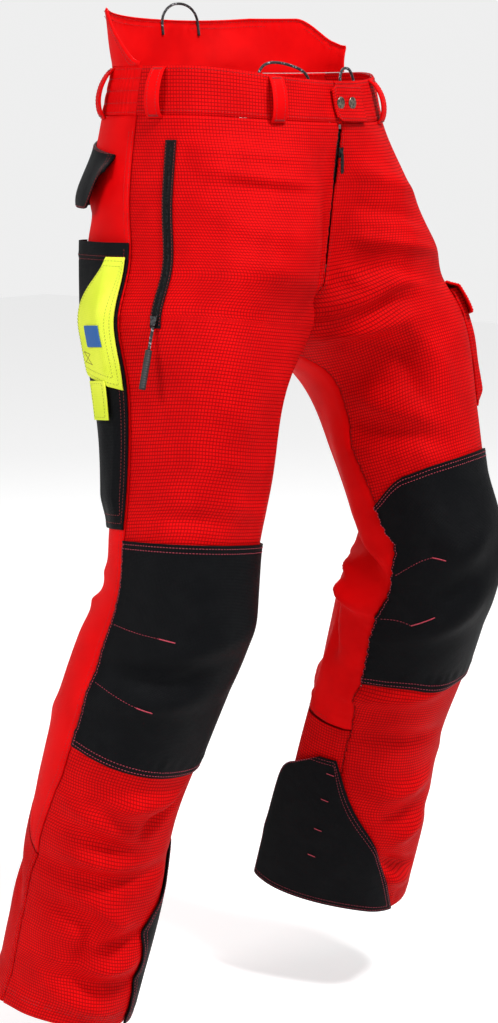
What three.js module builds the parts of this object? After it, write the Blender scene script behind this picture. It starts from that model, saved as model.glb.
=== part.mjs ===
// Chainsaw-protection trousers: two cloth legs with a cut-protection inlay in the front, a waistband with
// a raised kidney panel, zips, pockets, flaps, patches and loops. Millimetres, +Z up, wearer's left is +X,
// wearer's front is -Y. The origin is the middle of the waist, level with the waistband's top edge.
import * as THREE from "three";
import { mergeVertices } from "three/addons/utils/BufferGeometryUtils.js";

// ---- Driving sizes of the garment ----
const SIDE_LENGTH = 1030;
const CROTCH_DEPTH = 270;
const KNEE_LEVEL = 566;
const WAIST_WIDTH = 320;
const WAIST_DEPTH = 232;
const HIP_WIDTH = 402;
const HIP_DEPTH = 272;
const THIGH_WIDTH = 154;
const THIGH_DEPTH = 206;
const KNEE_WIDTH = 144;
const KNEE_DEPTH = 162;
const CALF_WIDTH = 151;
const CALF_DEPTH = 149;
const HEM_WIDTH = 134;
const HEM_DEPTH = 158;
const LEG_SPACING = 250;
const WAISTBAND_HEIGHT = 50;
const KIDNEY_HEIGHT = 62;

// ---- Cloth layers: how far each face lies outside (+) or inside (-) the garment's outer surface ----
const SHELL_THICKNESS = 2;
const LAYER_GAP = 1.5;
const PAD_GAP = 0.8;
const PAD_THICKNESS = 6;
const LINING_THICKNESS = 1.5;
const PATCH_THICKNESS = 1.8;
const PATCH_GAP = 1.4;
const SEAM_GAP = 0.4;
const BAND_THICKNESS = 3.5;
const BAND_PROUD = 0.5;
const PAD_OUTER = -SHELL_THICKNESS - PAD_GAP;
const LINING_OUTER = PAD_OUTER - PAD_THICKNESS - 4 * LAYER_GAP;
const PATCH_OUTER = PATCH_GAP + PATCH_THICKNESS;

// ---- The way the trousers stand: a stride, left leg forward ----
const RIGHT = { name: "right", x: -1, hip: 3.2, spread: 7.6, knee: 21.5, tuck: 0, hemDrop: 22 };
const LEFT = { name: "left", x: 1, hip: 18.7, spread: 3.8, knee: 38.6, tuck: 25, hemDrop: 0 };
const HIP_PIVOT = new THREE.Vector3(95, 0, -170);
const HIP_BEND_FROM = 150;
const HIP_BEND_OVER = 170;
const HIP_BEND_WIDTH = 70;
const KNEE_BEND_OVER = 140;
const TUCK_OVER = 250;
const ROUNDNESS = 2.3;

// ---- Colours ----
const RED_GRID = { color: 0xd8140f, roughness: 0.85, metalness: 0 };
const RED_SMOOTH = { color: 0xe5100a, roughness: 0.7, metalness: 0 };
const BLACK_NYLON = { color: 0x141416, roughness: 0.75, metalness: 0 };
const HIVIS_YELLOW = { color: 0xd4f01c, roughness: 0.6, metalness: 0 };
const LABEL_BLUE = { color: 0x1d67b5, roughness: 0.5, metalness: 0 };
const PAD_WHITE = { color: 0xe6e2d6, roughness: 0.95, metalness: 0 };
const LINING_GREY = { color: 0x3c3f45, roughness: 0.9, metalness: 0 };
const SNAP_METAL = { color: 0x5a544a, roughness: 0.4, metalness: 0.9 };
const ZIP_BLACK = { color: 0x0c0c0d, roughness: 0.45, metalness: 0.1 };
const RUBBER_BLACK = { color: 0x18181a, roughness: 0.6, metalness: 0 };

const garment = new THREE.Group();

// ---- Small helpers ----
const lerp = THREE.MathUtils.lerp;
const radians = THREE.MathUtils.degToRad;

function smooth(t) {
  return THREE.MathUtils.smoothstep(t, 0, 1);
}

function signedPower(value, power) {
  return Math.sign(value) * Math.abs(value) ** power;
}

function curveThrough(stations) {
  const size = stations[0].length - 1;
  const at = stations.map((row) => row[0]);
  const values = stations.flatMap((row) => row.slice(1));
  const curve = new THREE.CubicInterpolant(at, values, size);
  return (level) => Array.from(curve.evaluate(level));
}

function downThigh(share) {
  return lerp(CROTCH_DEPTH, KNEE_LEVEL, share);
}

function downShin(share) {
  return lerp(KNEE_LEVEL, SIDE_LENGTH, share);
}

// ---- The outer surface ----
// Each ring: level down from the waist, its centre out from the middle, half width, half depth, and its
// centre towards the back.
const ringAt = curveThrough([
  [0, 0, WAIST_WIDTH / 2, WAIST_DEPTH / 2, 6],
  [60, 5, WAIST_WIDTH / 2 + 6, WAIST_DEPTH / 2 + 13, 6],
  [130, 38, 0.75 * (HIP_WIDTH / 2), HIP_DEPTH / 2 + 6, -6],
  [200, HIP_WIDTH / 2 - 105, 105, HIP_DEPTH / 2, -22],
  [CROTCH_DEPTH, 107, 107, HIP_DEPTH / 2 - 21, -23],
  [downThigh(0.24), LEG_SPACING / 2 + 2, THIGH_WIDTH / 2, THIGH_DEPTH / 2, -33],
  [downThigh(0.54), LEG_SPACING / 2 - 1, THIGH_WIDTH / 2 - 3, THIGH_DEPTH / 2 - 16, -33],
  [downThigh(0.85), LEG_SPACING / 2 - 1, KNEE_WIDTH / 2 + 1, KNEE_DEPTH / 2 - 4, -25],
  [downShin(0.08), LEG_SPACING / 2 - 2, KNEE_WIDTH / 2, KNEE_DEPTH / 2 + 4, -16],
  [downShin(0.29), LEG_SPACING / 2 + 2, CALF_WIDTH / 2 + 1, CALF_DEPTH / 2 + 7, -16],
  [downShin(0.5), LEG_SPACING / 2 + 1, CALF_WIDTH / 2, CALF_DEPTH / 2, -19],
  [downShin(0.72), LEG_SPACING / 2 - 3, CALF_WIDTH / 2 - 4, CALF_DEPTH / 2 + 5, -31],
  [downShin(0.96), LEG_SPACING / 2 - 7, HEM_WIDTH / 2, HEM_DEPTH / 2, -42],
]);

// The fly: a nearly straight line down the middle of the front, set back between the two thighs.
const FLY_TOP = WAISTBAND_HEIGHT + 10;
const FLY_BOTTOM = 225;
const FLY_TOP_Y = -(WAIST_DEPTH / 2 + 8);
const FLY_BOTTOM_Y = FLY_TOP_Y + 21;
const FLY_BLEND_WIDTH = 90;
const FLY_BLEND_LENGTH = 30;

function flyY(level) {
  const share = (level - FLY_TOP) / (FLY_BOTTOM - FLY_TOP);
  return lerp(FLY_TOP_Y, FLY_BOTTOM_Y, share);
}

function flyHold(level) {
  const starts = smooth((level - FLY_TOP) / FLY_BLEND_LENGTH + 2 / 3);
  const ends = smooth((level - FLY_BOTTOM) / (CROTCH_DEPTH - FLY_BOTTOM));
  return starts * (1 - ends);
}

function clothLevel(side, level) {
  return level - side.tuck * smooth((level - HIP_BEND_FROM) / TUCK_OVER);
}

// A point of the garment: degrees go round the leg from the outer side (0) over the front (-90) to the
// inner side (-180), or over the back (+90). out is the distance outside the outer surface.
function onBody(side, level, degrees, out) {
  const v = clothLevel(side, level);
  const [middle, wide, deep, back] = ringAt(Math.max(v, 0));
  const angle = radians(degrees);
  const x = Math.max(middle + (wide + out) * signedPower(Math.cos(angle), 2 / ROUNDNESS), 0);
  let y = back + (deep + out) * signedPower(Math.sin(angle), 2 / ROUNDNESS);
  if (Math.sin(angle) < 0) {
    const hold = flyHold(v) * (1 - smooth(x / FLY_BLEND_WIDTH));
    y = lerp(y, flyY(v) - out, hold);
  }
  const point = new THREE.Vector3(x, y, -v);
  bendKnee(side, v, point);
  bendHip(side, v, point);
  point.x *= side.x;
  return point;
}

function bendKnee(side, v, point) {
  const share = smooth((v - KNEE_LEVEL) / KNEE_BEND_OVER + 0.5);
  const pivot = new THREE.Vector3(0, ringAt(KNEE_LEVEL)[3], -KNEE_LEVEL);
  turnAbout(point, pivot, new THREE.Vector3(1, 0, 0), side.knee * share);
}

function bendHip(side, v, point) {
  const share = smooth((v - HIP_BEND_FROM) / HIP_BEND_OVER) * smooth(point.x / HIP_BEND_WIDTH);
  turnAbout(point, HIP_PIVOT, new THREE.Vector3(0, 1, 0), -side.spread * share);
  turnAbout(point, HIP_PIVOT, new THREE.Vector3(1, 0, 0), -side.hip * share);
}

function turnAbout(point, pivot, axis, degrees) {
  point.sub(pivot).applyAxisAngle(axis, radians(degrees)).add(pivot);
}

// Degrees at which the front of a ring is x from the middle plane; -180 where the leg stands clear of it.
function frontDegreesAt(side, level, x) {
  const [middle, wide] = ringAt(clothLevel(side, level));
  const share = THREE.MathUtils.clamp((x - middle) / wide, -1, 1);
  return -THREE.MathUtils.radToDeg(Math.acos(signedPower(share, ROUNDNESS / 2)));
}

function degreesFor(side, level, degrees, width) {
  const one = onBody(side, level, degrees - 1, 0);
  const other = onBody(side, level, degrees + 1, 0);
  return (2 * width) / one.distanceTo(other);
}

// The levels of the long panels' rows, closer together over the hip and the bending knee.
const LONG_LEVELS = [
  FLY_TOP, 95, 135, 175, 210, 240, CROTCH_DEPTH, downThigh(0.17), downThigh(0.36), downThigh(0.56),
  downThigh(0.74), downThigh(0.88), KNEE_LEVEL, downShin(0.08), downShin(0.17), downShin(0.3),
  downShin(0.44), downShin(0.58), downShin(0.7), downShin(0.82), downShin(0.91), SIDE_LENGTH,
];

// A curve that runs straight between the panels' rows, so that two panels' edges along it stay parallel.
function stepped(curve) {
  return (level) => {
    const above = Math.max(LONG_LEVELS.findLastIndex((row) => row <= level), 0);
    const below = Math.min(above + 1, LONG_LEVELS.length - 1);
    const span = LONG_LEVELS[below] - LONG_LEVELS[above];
    const share = span > 0 ? THREE.MathUtils.clamp((level - LONG_LEVELS[above]) / span, 0, 1) : 0;
    return lerp(curve(LONG_LEVELS[above])[0], curve(LONG_LEVELS[below])[0], share);
  };
}

// The seams: the outer side seam, and the inner seam where the legs stand apart.
const sideSeam = stepped(curveThrough([
  [0, 1],
  [130, 4],
  [downThigh(0.2), 9],
  [KNEE_LEVEL, 12],
  [downShin(0.18), 5],
  [downShin(0.46), 4],
  [downShin(0.63), 14],
  [SIDE_LENGTH, 15],
]));
const innerSeam = stepped(curveThrough([
  [CROTCH_DEPTH, -180],
  [downThigh(0.3), -185],
  [downThigh(0.6), -184],
  [downThigh(0.88), -173],
  [downShin(0.1), -169],
  [downShin(0.53), -160],
  [SIDE_LENGTH, -158],
]));

function innerEdge(side, level, gap) {
  if (clothLevel(side, level) < CROTCH_DEPTH) return frontDegreesAt(side, level, gap);
  return innerSeam(level);
}

// The centre line of the front: below the fly the two halves meet, over the fly they leave the zip showing.
const FLY_SLIT = 2.5;
const FLY_SLIT_CLOSES_OVER = 15;

function frontCentreGap(level) {
  return lerp(FLY_SLIT, SEAM_GAP, smooth((level - FLY_BOTTOM) / FLY_SLIT_CLOSES_OVER));
}

function frontInnerEdge(side, level) {
  const seam = degreesFor(side, level, innerEdge(side, level, 0), SEAM_GAP);
  return innerEdge(side, level, frontCentreGap(level)) + seam;
}

function backInnerEdge(side, level) {
  const front = innerEdge(side, level, SEAM_GAP);
  const seam = degreesFor(side, level, front, SEAM_GAP);
  return clothLevel(side, level) < CROTCH_DEPTH ? -front : 360 + front - seam;
}

function sideEdge(side, level, away) {
  const seam = sideSeam(level);
  return seam + away * degreesFor(side, level, seam, SEAM_GAP);
}

// ---- Making solids ----
// A closed sheet of cloth: a box grid whose points place(u, v, w) puts, u across, v down and w outwards.
function sheet(columns, rows, place) {
  const grid = new THREE.BoxGeometry(1, 1, 1, columns, rows, 1);
  turnDiagonals(grid, grid.groups[5]);
  grid.deleteAttribute("normal");
  grid.deleteAttribute("uv");
  const solid = mergeVertices(grid);
  const position = solid.getAttribute("position");
  for (let i = 0; i < position.count; i++) {
    const point = place(position.getX(i) + 0.5, 0.5 - position.getY(i), position.getZ(i) + 0.5);
    position.setXYZ(i, point.x, point.y, point.z);
  }
  return facingOut(solid);
}

// Gives the inner face's quads the same diagonals as the outer face's, so that layers stay parallel.
function turnDiagonals(grid, face) {
  const index = grid.index.array;
  for (let i = face.start; i < face.start + face.count; i += 6) {
    const [a, b, d, , c] = index.subarray(i, i + 6);
    index.set([a, b, c, a, c, d], i);
  }
}

function facingOut(solid) {
  const position = solid.getAttribute("position");
  const index = solid.index.array;
  const [a, b, c] = [new THREE.Vector3(), new THREE.Vector3(), new THREE.Vector3()];
  let volume = 0;
  for (let i = 0; i < index.length; i += 3) {
    a.fromBufferAttribute(position, index[i]);
    b.fromBufferAttribute(position, index[i + 1]);
    c.fromBufferAttribute(position, index[i + 2]);
    volume += a.dot(b.cross(c));
  }
  if (volume < 0) {
    index.reverse();
  }
  return solid;
}

function add(name, geometry, finish) {
  const mesh = new THREE.Mesh(geometry, new THREE.MeshStandardMaterial(finish));
  mesh.name = name;
  garment.add(mesh);
  return mesh;
}

// The hem hangs lowest at the outer back, where hemDrop is counted.
const HEM_LOWEST_AT = 40;

function hemLevel(side, degrees) {
  return SIDE_LENGTH + side.hemDrop * Math.max(Math.cos(radians(degrees - HEM_LOWEST_AT)), 0) ** 2;
}

// A panel whose rows follow the long levels between two curved ends. columns are shares of the way across.
const ROW_SPACE = 3;

function longPanel(side, panel) {
  const { levels, columns, left, right, top, bottom, inner, outer } = panel;
  const tuck = panel.tuck ?? 0;
  const last = levels.length - 1;
  const lastColumn = columns.length - 1;
  return sheet(lastColumn, last, (u, v, w) => {
    const row = Math.round(v * last);
    const column = Math.round(u * lastColumn);
    let level = levels[row];
    let degrees = 0;
    for (let pass = 0; pass < 3; pass++) {
      degrees = lerp(left(level), right(level), columns[column]);
      const high = top(degrees) + ROW_SPACE * row;
      const low = bottom(degrees) - ROW_SPACE * (last - row);
      level = THREE.MathUtils.clamp(levels[row], high, low);
      if (row === 0) level = high;
      if (row === last) level = low;
    }
    const atEdge = column === 0 || column === lastColumn;
    return onBody(side, level, degrees, lerp(inner, outer, w) - (atEdge ? tuck : 0));
  });
}

function evenColumns(count) {
  return Array.from({ length: count + 1 }, (_, i) => i / count);
}

// A patch with its own outline. top and bottom give levels across u; left and right give degrees at a
// level.
function patch(side, columns, rows, shape, inner, outer) {
  return sheet(columns, rows, (u, v, w) => {
    const level = lerp(shape.top(u), shape.bottom(u), v);
    const degrees = lerp(shape.left(level), shape.right(level), u);
    return onBody(side, level, degrees, lerp(inner(u, v), outer(u, v), w));
  });
}

// ---- Waist lines ----
const FRONT_DIP = 14;
const FRONT_BAND_BOTTOM_DIP = 7;

function frontDip(degrees) {
  return smooth((-degrees - 15) / 75);
}

function bandTop(degrees) {
  return FRONT_DIP * frontDip(degrees);
}

function bandBottom(degrees) {
  return WAISTBAND_HEIGHT + FRONT_BAND_BOTTOM_DIP * frontDip(degrees);
}

function shellTop(degrees) {
  return bandBottom(degrees) + SEAM_GAP;
}

// ---- Shell panels ----
const SHELL_COLUMNS = 12;
const BACK_COLUMNS = 10;
const CALF_PANEL_BACK = SIDE_LENGTH - 230;
const CALF_PANEL_SIDE = SIDE_LENGTH - 162;
const CALF_PANEL_ROWS_FROM = CALF_PANEL_BACK - 40;

function calfPanelTop(degrees) {
  return lerp(CALF_PANEL_SIDE, CALF_PANEL_BACK, smooth((degrees - 10) / 70));
}

function frontPanel(side) {
  return longPanel(side, {
    levels: LONG_LEVELS,
    columns: evenColumns(SHELL_COLUMNS),
    left: (level) => sideEdge(side, level, -1),
    right: (level) => frontInnerEdge(side, level),
    top: shellTop,
    bottom: (degrees) => hemLevel(side, degrees),
    inner: -SHELL_THICKNESS,
    outer: 0,
  });
}

function backPanel(side) {
  return longPanel(side, {
    levels: [...LONG_LEVELS.filter((level) => level < CALF_PANEL_SIDE), CALF_PANEL_SIDE],
    columns: evenColumns(BACK_COLUMNS),
    left: (level) => sideEdge(side, level, 1),
    right: (level) => backInnerEdge(side, level),
    top: shellTop,
    bottom: (degrees) => calfPanelTop(degrees) - SEAM_GAP,
    inner: -SHELL_THICKNESS,
    outer: 0,
  });
}

function calfPanel(side) {
  return longPanel(side, {
    levels: LONG_LEVELS.filter((level) => level > CALF_PANEL_ROWS_FROM),
    columns: evenColumns(BACK_COLUMNS),
    left: (level) => sideEdge(side, level, 1),
    right: (level) => backInnerEdge(side, level),
    top: (degrees) => calfPanelTop(degrees) + SEAM_GAP,
    bottom: (degrees) => hemLevel(side, degrees),
    inner: -SHELL_THICKNESS,
    outer: 0,
  });
}

// ---- Cut-protection inlay and its lining, in the front of each leg ----
const INLAY_BELOW_BAND = 8;
const INLAY_ABOVE_HEM = 50;
const INLAY_EDGE_TUCK = 1.5;
const INLAY_FROM_SIDE = 0.05;
const INLAY_TO_FLY = 0.94;
const LINING_TO_FLY = 0.99;
const CLOSEST_COLUMNS = 0.02;

function inlay(side, columns, inner, outer) {
  return longPanel(side, {
    levels: LONG_LEVELS,
    columns,
    left: (level) => sideEdge(side, level, -1),
    right: (level) => frontInnerEdge(side, level),
    top: (degrees) => shellTop(degrees) + INLAY_BELOW_BAND,
    bottom: () => SIDE_LENGTH - INLAY_ABOVE_HEM,
    inner,
    outer,
    tuck: INLAY_EDGE_TUCK,
  });
}

function columnsBetween(from, to, count) {
  const inside = evenColumns(count).filter(
    (share) => share > from + CLOSEST_COLUMNS && share < to - CLOSEST_COLUMNS,
  );
  return [from, ...inside, to];
}

for (const side of [RIGHT, LEFT]) {
  add("front_panel_" + side.name, frontPanel(side), RED_GRID);
  add("back_panel_" + side.name, backPanel(side), RED_SMOOTH);
  add("calf_back_panel_" + side.name, calfPanel(side), RED_GRID);
  const padColumns = columnsBetween(INLAY_FROM_SIDE, INLAY_TO_FLY, SHELL_COLUMNS);
  const liningColumns = columnsBetween(INLAY_FROM_SIDE, LINING_TO_FLY, SHELL_COLUMNS / 2);
  add(
    "cut_protection_inlay_" + side.name,
    inlay(side, padColumns, PAD_OUTER - PAD_THICKNESS, PAD_OUTER),
    PAD_WHITE,
  );
  add(
    "inlay_lining_" + side.name,
    inlay(side, liningColumns, LINING_OUTER - LINING_THICKNESS, LINING_OUTER),
    LINING_GREY,
  );
}

// ---- Waistband and kidney panel ----
// A point on the back, turn degrees left (+) or right (-) of the middle of the back.
function acrossBack(turn, level, out) {
  return onBody(turn < 0 ? RIGHT : LEFT, level, 90 - Math.abs(turn), out);
}

const BAND_INNER = BAND_PROUD - BAND_THICKNESS;
const BAND_COLUMNS = 10;
const BACK_BAND_COLUMNS = 16;

function frontBand(side) {
  return patch(side, BAND_COLUMNS, 2, {
    left: () => sideEdge(side, 0, -1),
    right: () => frontDegreesAt(side, 0, SEAM_GAP),
    top: (u) => bandTop(-90 * u),
    bottom: (u) => bandBottom(-90 * u),
  }, () => BAND_INNER, () => BAND_PROUD);
}

function backBand() {
  const reach = 90 - sideEdge(LEFT, 0, 1);
  return sheet(BACK_BAND_COLUMNS, 2, (u, v, w) => {
    const turn = lerp(-reach, reach, u);
    return acrossBack(turn, lerp(0, bandBottom(90), v), lerp(BAND_INNER, BAND_PROUD, w));
  });
}

// The kidney panel rises from the right side seam and ends in a rounded corner past the left one.
const KIDNEY_RIGHT_END = -86;
const KIDNEY_LEFT_END = 97;
const KIDNEY_RISE_RIGHT = 34;
const KIDNEY_RISE_LEFT = 28;
const KIDNEY_RIGHT_START = 5;
const KIDNEY_LEFT_START = 30;
const KIDNEY_FLARE = 7;
const KIDNEY_DIP = 5;

function kidneyHeight(turn) {
  const right = smooth((turn - KIDNEY_RIGHT_END) / KIDNEY_RISE_RIGHT);
  const left = smooth((KIDNEY_LEFT_END - turn) / KIDNEY_RISE_LEFT);
  const rise = turn < 0
    ? lerp(KIDNEY_RIGHT_START, KIDNEY_HEIGHT, right)
    : lerp(KIDNEY_LEFT_START, KIDNEY_HEIGHT, left);
  return rise - KIDNEY_DIP * Math.max(Math.cos(radians(2 * turn)), 0);
}

function kidneyOut(height) {
  return KIDNEY_FLARE * smooth(height / KIDNEY_HEIGHT);
}

function raised(turn, height, out) {
  const point = acrossBack(turn, 0, out + kidneyOut(height));
  point.z = height;
  return point;
}

function kidneyPanel() {
  return sheet(18, 3, (u, v, w) => {
    const turn = lerp(KIDNEY_RIGHT_END, KIDNEY_LEFT_END, u);
    const height = lerp(kidneyHeight(turn), SEAM_GAP, v);
    return raised(turn, height, lerp(-SHELL_THICKNESS, 0, w));
  });
}

add("waistband_front_right", frontBand(RIGHT), RED_GRID);
add("waistband_front_left", frontBand(LEFT), RED_GRID);
add("waistband_back", backBand(), RED_SMOOTH);
add("kidney_panel", kidneyPanel(), RED_SMOOTH);

// ---- Belt loops ----
const LOOP_WIDTH = 16;
const LOOP_THICKNESS = 2;
const LOOP_STANDOFF = 9;
const LOOP_OVERLAP = 3;
const LOOP_REST = BAND_PROUD + 0.4;
const LOOPS = [
  ["belt_loop_side_right", RIGHT, -6],
  ["belt_loop_front_right", RIGHT, -62],
  ["belt_loop_rear_right", RIGHT, 30],
  ["belt_loop_side_left", LEFT, -6],
  ["belt_loop_front_left", LEFT, -62],
  ["belt_loop_rear_left", LEFT, 30],
];

function loopLift(v) {
  return LOOP_STANDOFF * smooth(v / 0.2) * smooth((1 - v) / 0.2);
}

function loopSheet(place, top, bottom) {
  return sheet(1, 10, (u, v, w) => {
    const out = LOOP_REST + loopLift(v) + LOOP_THICKNESS * w;
    return place((u - 0.5) * LOOP_WIDTH, lerp(top, bottom, v), out);
  });
}

function beltLoop(side, degrees) {
  const perMillimetre = degreesFor(side, 0, degrees, 1);
  return loopSheet(
    (across, level, out) => onBody(side, level, degrees + across * perMillimetre, out),
    bandTop(degrees) + 1,
    bandBottom(degrees) + LOOP_OVERLAP,
  );
}

function backLoop() {
  return loopSheet(
    (across, level, out) => {
      const point = acrossBack(0, level, out);
      point.x = across;
      return point;
    },
    1,
    bandBottom(90) + LOOP_OVERLAP,
  );
}

for (const [name, side, degrees] of LOOPS) {
  add(name, beltLoop(side, degrees), RED_SMOOTH);
}
add("belt_loop_back", backLoop(), RED_SMOOTH);

// ---- Closure tab with two press studs ----
const TAB_HEIGHT = WAISTBAND_HEIGHT - 12;
const TAB_THICKNESS = 2.4;
const TAB_FREE_END = -10;
const TAB_SEWN_END = 44;
const TAB_TOP = FRONT_DIP + 4;
const TAB_CORNER = 4;
const STUD_HEIGHT = 1.6;
const STUD_RADIUS = 5;
const STUD_CLEAR = 0.4;
const CAP_RADIUS = 6.5;
const CAP_HEIGHT = 2;
const CAP_CLEAR = 0.6;
const CAP_SPOTS = [-1, 20];
const TAB_BACK = BAND_PROUD + STUD_HEIGHT + 3 * STUD_CLEAR;

// A point on the front, x from the middle plane.
function acrossFront(x, level, out) {
  const side = x < 0 ? RIGHT : LEFT;
  const point = onBody(side, level, frontDegreesAt(side, level, Math.abs(x)), out);
  point.x = x;
  return point;
}

function closureTab() {
  return sheet(6, 2, (u, v, w) => {
    const x = lerp(TAB_FREE_END, TAB_SEWN_END, u);
    const corner = TAB_CORNER * (1 - smooth(u / 0.12)) * (1 - 2 * v);
    return acrossFront(x, TAB_TOP + TAB_HEIGHT * v + corner, TAB_BACK + TAB_THICKNESS * w);
  });
}

function capProfile() {
  const rim = 0.6;
  const dome = 0.6;
  const points = [new THREE.Vector2(0, 0), new THREE.Vector2(CAP_RADIUS, 0)];
  for (const angle of [0, 35, 70]) {
    const r = CAP_RADIUS * (1 - dome + dome * Math.cos(radians(angle)));
    points.push(new THREE.Vector2(r, rim + (CAP_HEIGHT - rim) * Math.sin(radians(angle))));
  }
  points.push(new THREE.Vector2(0, CAP_HEIGHT));
  return points;
}

// Lays a solid made in its own X (across), Y (up the run) and Z (outwards) at a point of the garment.
function lay(mesh, origin, up, outward) {
  const across = new THREE.Vector3().crossVectors(up, outward).normalize();
  const out = new THREE.Vector3().crossVectors(across, up).normalize();
  mesh.applyMatrix4(new THREE.Matrix4().makeBasis(across, up, out).setPosition(origin));
  return mesh;
}

function snapPiece(name, geometry, x, out) {
  const spot = acrossFront(x, TAB_TOP + TAB_HEIGHT / 2, out);
  const up = acrossFront(x, TAB_TOP, 0).sub(acrossFront(x, TAB_TOP + TAB_HEIGHT, 0)).normalize();
  lay(add(name, geometry.rotateX(Math.PI / 2), SNAP_METAL), spot, up, new THREE.Vector3(0, -1, 0));
}

add("closure_tab", closureTab(), RED_GRID);
CAP_SPOTS.forEach((x, i) => {
  const stud = new THREE.CylinderGeometry(STUD_RADIUS, STUD_RADIUS, STUD_HEIGHT, 14);
  snapPiece("snap_stud_" + (i + 1), stud, x, BAND_PROUD + STUD_CLEAR + STUD_HEIGHT / 2);
  const cap = new THREE.LatheGeometry(capProfile(), 14);
  snapPiece("snap_cap_" + (i + 1), cap, x, TAB_BACK + TAB_THICKNESS + CAP_CLEAR);
});

// ---- Fly zip ----
const TAPE_WIDTH = 14;
const TAPE_THICKNESS = 1.4;
const TAPE_OUTER = -SHELL_THICKNESS - 2;
const TEETH_PROUD = 2.4;
const SHIELD_THICKNESS = 1.4;
const SHIELD_OUTER = TAPE_OUTER - TAPE_THICKNESS - 0.8;
const SHIELD_RIGHT = -14;
const SHIELD_LEFT = 10;
const TAPE_TOP = FLY_TOP + 4;
const TAPE_BOTTOM = FLY_BOTTOM - 14;
const FLY_SLIDER_LEVEL = FLY_TOP + 28;
const SLIDER_WIDTH = 8;
const SLIDER_TAPER = 1.5;
const SLIDER_LENGTH = 11;
const SLIDER_THICKNESS = 3.2;
const PULLER_LENGTH = 22;
const PULLER_WIDTH = 5;
const PULLER_THICKNESS = 1.5;

function flyTape(side) {
  return sheet(3, 6, (u, v, w) => {
    const x = side.x * lerp(SEAM_GAP, TAPE_WIDTH, u);
    const teeth = u < 0.1 ? TEETH_PROUD : 0;
    const level = lerp(TAPE_TOP, TAPE_BOTTOM, v);
    return acrossFront(x, level, TAPE_OUTER - TAPE_THICKNESS + (TAPE_THICKNESS + teeth) * w);
  });
}

function flyShield() {
  return sheet(4, 6, (u, v, w) => {
    const x = lerp(SHIELD_RIGHT, SHIELD_LEFT, u);
    const level = lerp(TAPE_TOP, TAPE_BOTTOM - 4, v);
    return acrossFront(x, level, SHIELD_OUTER - SHIELD_THICKNESS * (1 - w));
  });
}

// A slider's outline, wide at the top, in the plane of the zip.
function sliderSolid() {
  const half = SLIDER_WIDTH / 2;
  const outline = new THREE.Shape();
  outline.moveTo(-half, SLIDER_LENGTH / 2);
  outline.lineTo(-half + SLIDER_TAPER, -SLIDER_LENGTH / 2);
  outline.lineTo(half - SLIDER_TAPER, -SLIDER_LENGTH / 2);
  outline.lineTo(half, SLIDER_LENGTH / 2);
  outline.closePath();
  return new THREE.ExtrudeGeometry(outline, { depth: SLIDER_THICKNESS, bevelEnabled: false });
}

function pullerSolid(length, width, thickness) {
  const outline = new THREE.Shape();
  outline.moveTo(-width / 2, 0);
  outline.lineTo(-width / 2, -length + width / 2);
  outline.absarc(0, -length + width / 2, width / 2, Math.PI, 2 * Math.PI, false);
  outline.lineTo(width / 2, 0);
  outline.closePath();
  return new THREE.ExtrudeGeometry(outline, { depth: thickness, bevelEnabled: false, curveSegments: 5 });
}

for (const side of [RIGHT, LEFT]) {
  add("fly_zip_tape_" + side.name, flyTape(side), ZIP_BLACK);
}
add("fly_shield", flyShield(), RED_SMOOTH);

const flyUp = acrossFront(0, FLY_TOP, 0).sub(acrossFront(0, FLY_BOTTOM, 0)).normalize();
const flyOut = new THREE.Vector3(0, -1, 0);
const flySliderSpot = acrossFront(0, FLY_SLIDER_LEVEL, 0.5);
lay(add("fly_slider", sliderSolid(), ZIP_BLACK), flySliderSpot, flyUp, flyOut);
const flyPullerSpot = flySliderSpot.clone();
flyPullerSpot.y -= SLIDER_THICKNESS + 0.5;
flyPullerSpot.z -= 1;
lay(
  add("fly_puller", pullerSolid(PULLER_LENGTH, PULLER_WIDTH, PULLER_THICKNESS), ZIP_BLACK),
  flyPullerSpot, new THREE.Vector3(0, 0, 1), flyOut,
);

// ---- Hip pocket zips, one on each side, with their bags ----
const HIP_ZIP_TOP = WAISTBAND_HEIGHT + 25;
const HIP_ZIP_BOTTOM = 278;
const HIP_ZIP_WIDTH = 12;
const HIP_TAPE_THICKNESS = 1.6;
const HIP_TAPE_REST = 1;
const HIP_BAG_FRONT = 42;
const HIP_BAG_SIDE = 4;
const HIP_BAG_BELOW_ZIP = 22;
const HIP_BAG_SLOPE = 20;
const HIP_BAG_THICKNESS = 0.9;
const PULL_CORD_LENGTH = 24;
const PULL_CORD_RADIUS = 1.5;
const PULL_GRIP_LENGTH = 40;
const PULL_GRIP_RADIUS = 3.5;
const PULL_CLEAR = 5;
const PULL_STAND_OUT = 15;

const HIP_RUN_BELOW_TOP = 10;
const HIP_RUN_ABOVE_BOTTOM = 8;
const HIP_RUN_CLEAR = 0.3;

const hipZipDegrees = curveThrough([[HIP_ZIP_TOP, -14], [170, -11], [HIP_ZIP_BOTTOM, -12]]);

function hipZipPoint(side, level, out) {
  return onBody(side, level, hipZipDegrees(level)[0], out);
}

function hipZipTape(side) {
  return patch(side, 2, 10, {
    left: (level) => hipZipDegrees(level)[0] + degreesFor(side, level, -12, HIP_ZIP_WIDTH / 2),
    right: (level) => hipZipDegrees(level)[0] - degreesFor(side, level, -12, HIP_ZIP_WIDTH / 2),
    top: () => HIP_ZIP_TOP,
    bottom: () => HIP_ZIP_BOTTOM,
  }, () => HIP_TAPE_REST, () => HIP_TAPE_REST + HIP_TAPE_THICKNESS);
}

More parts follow.
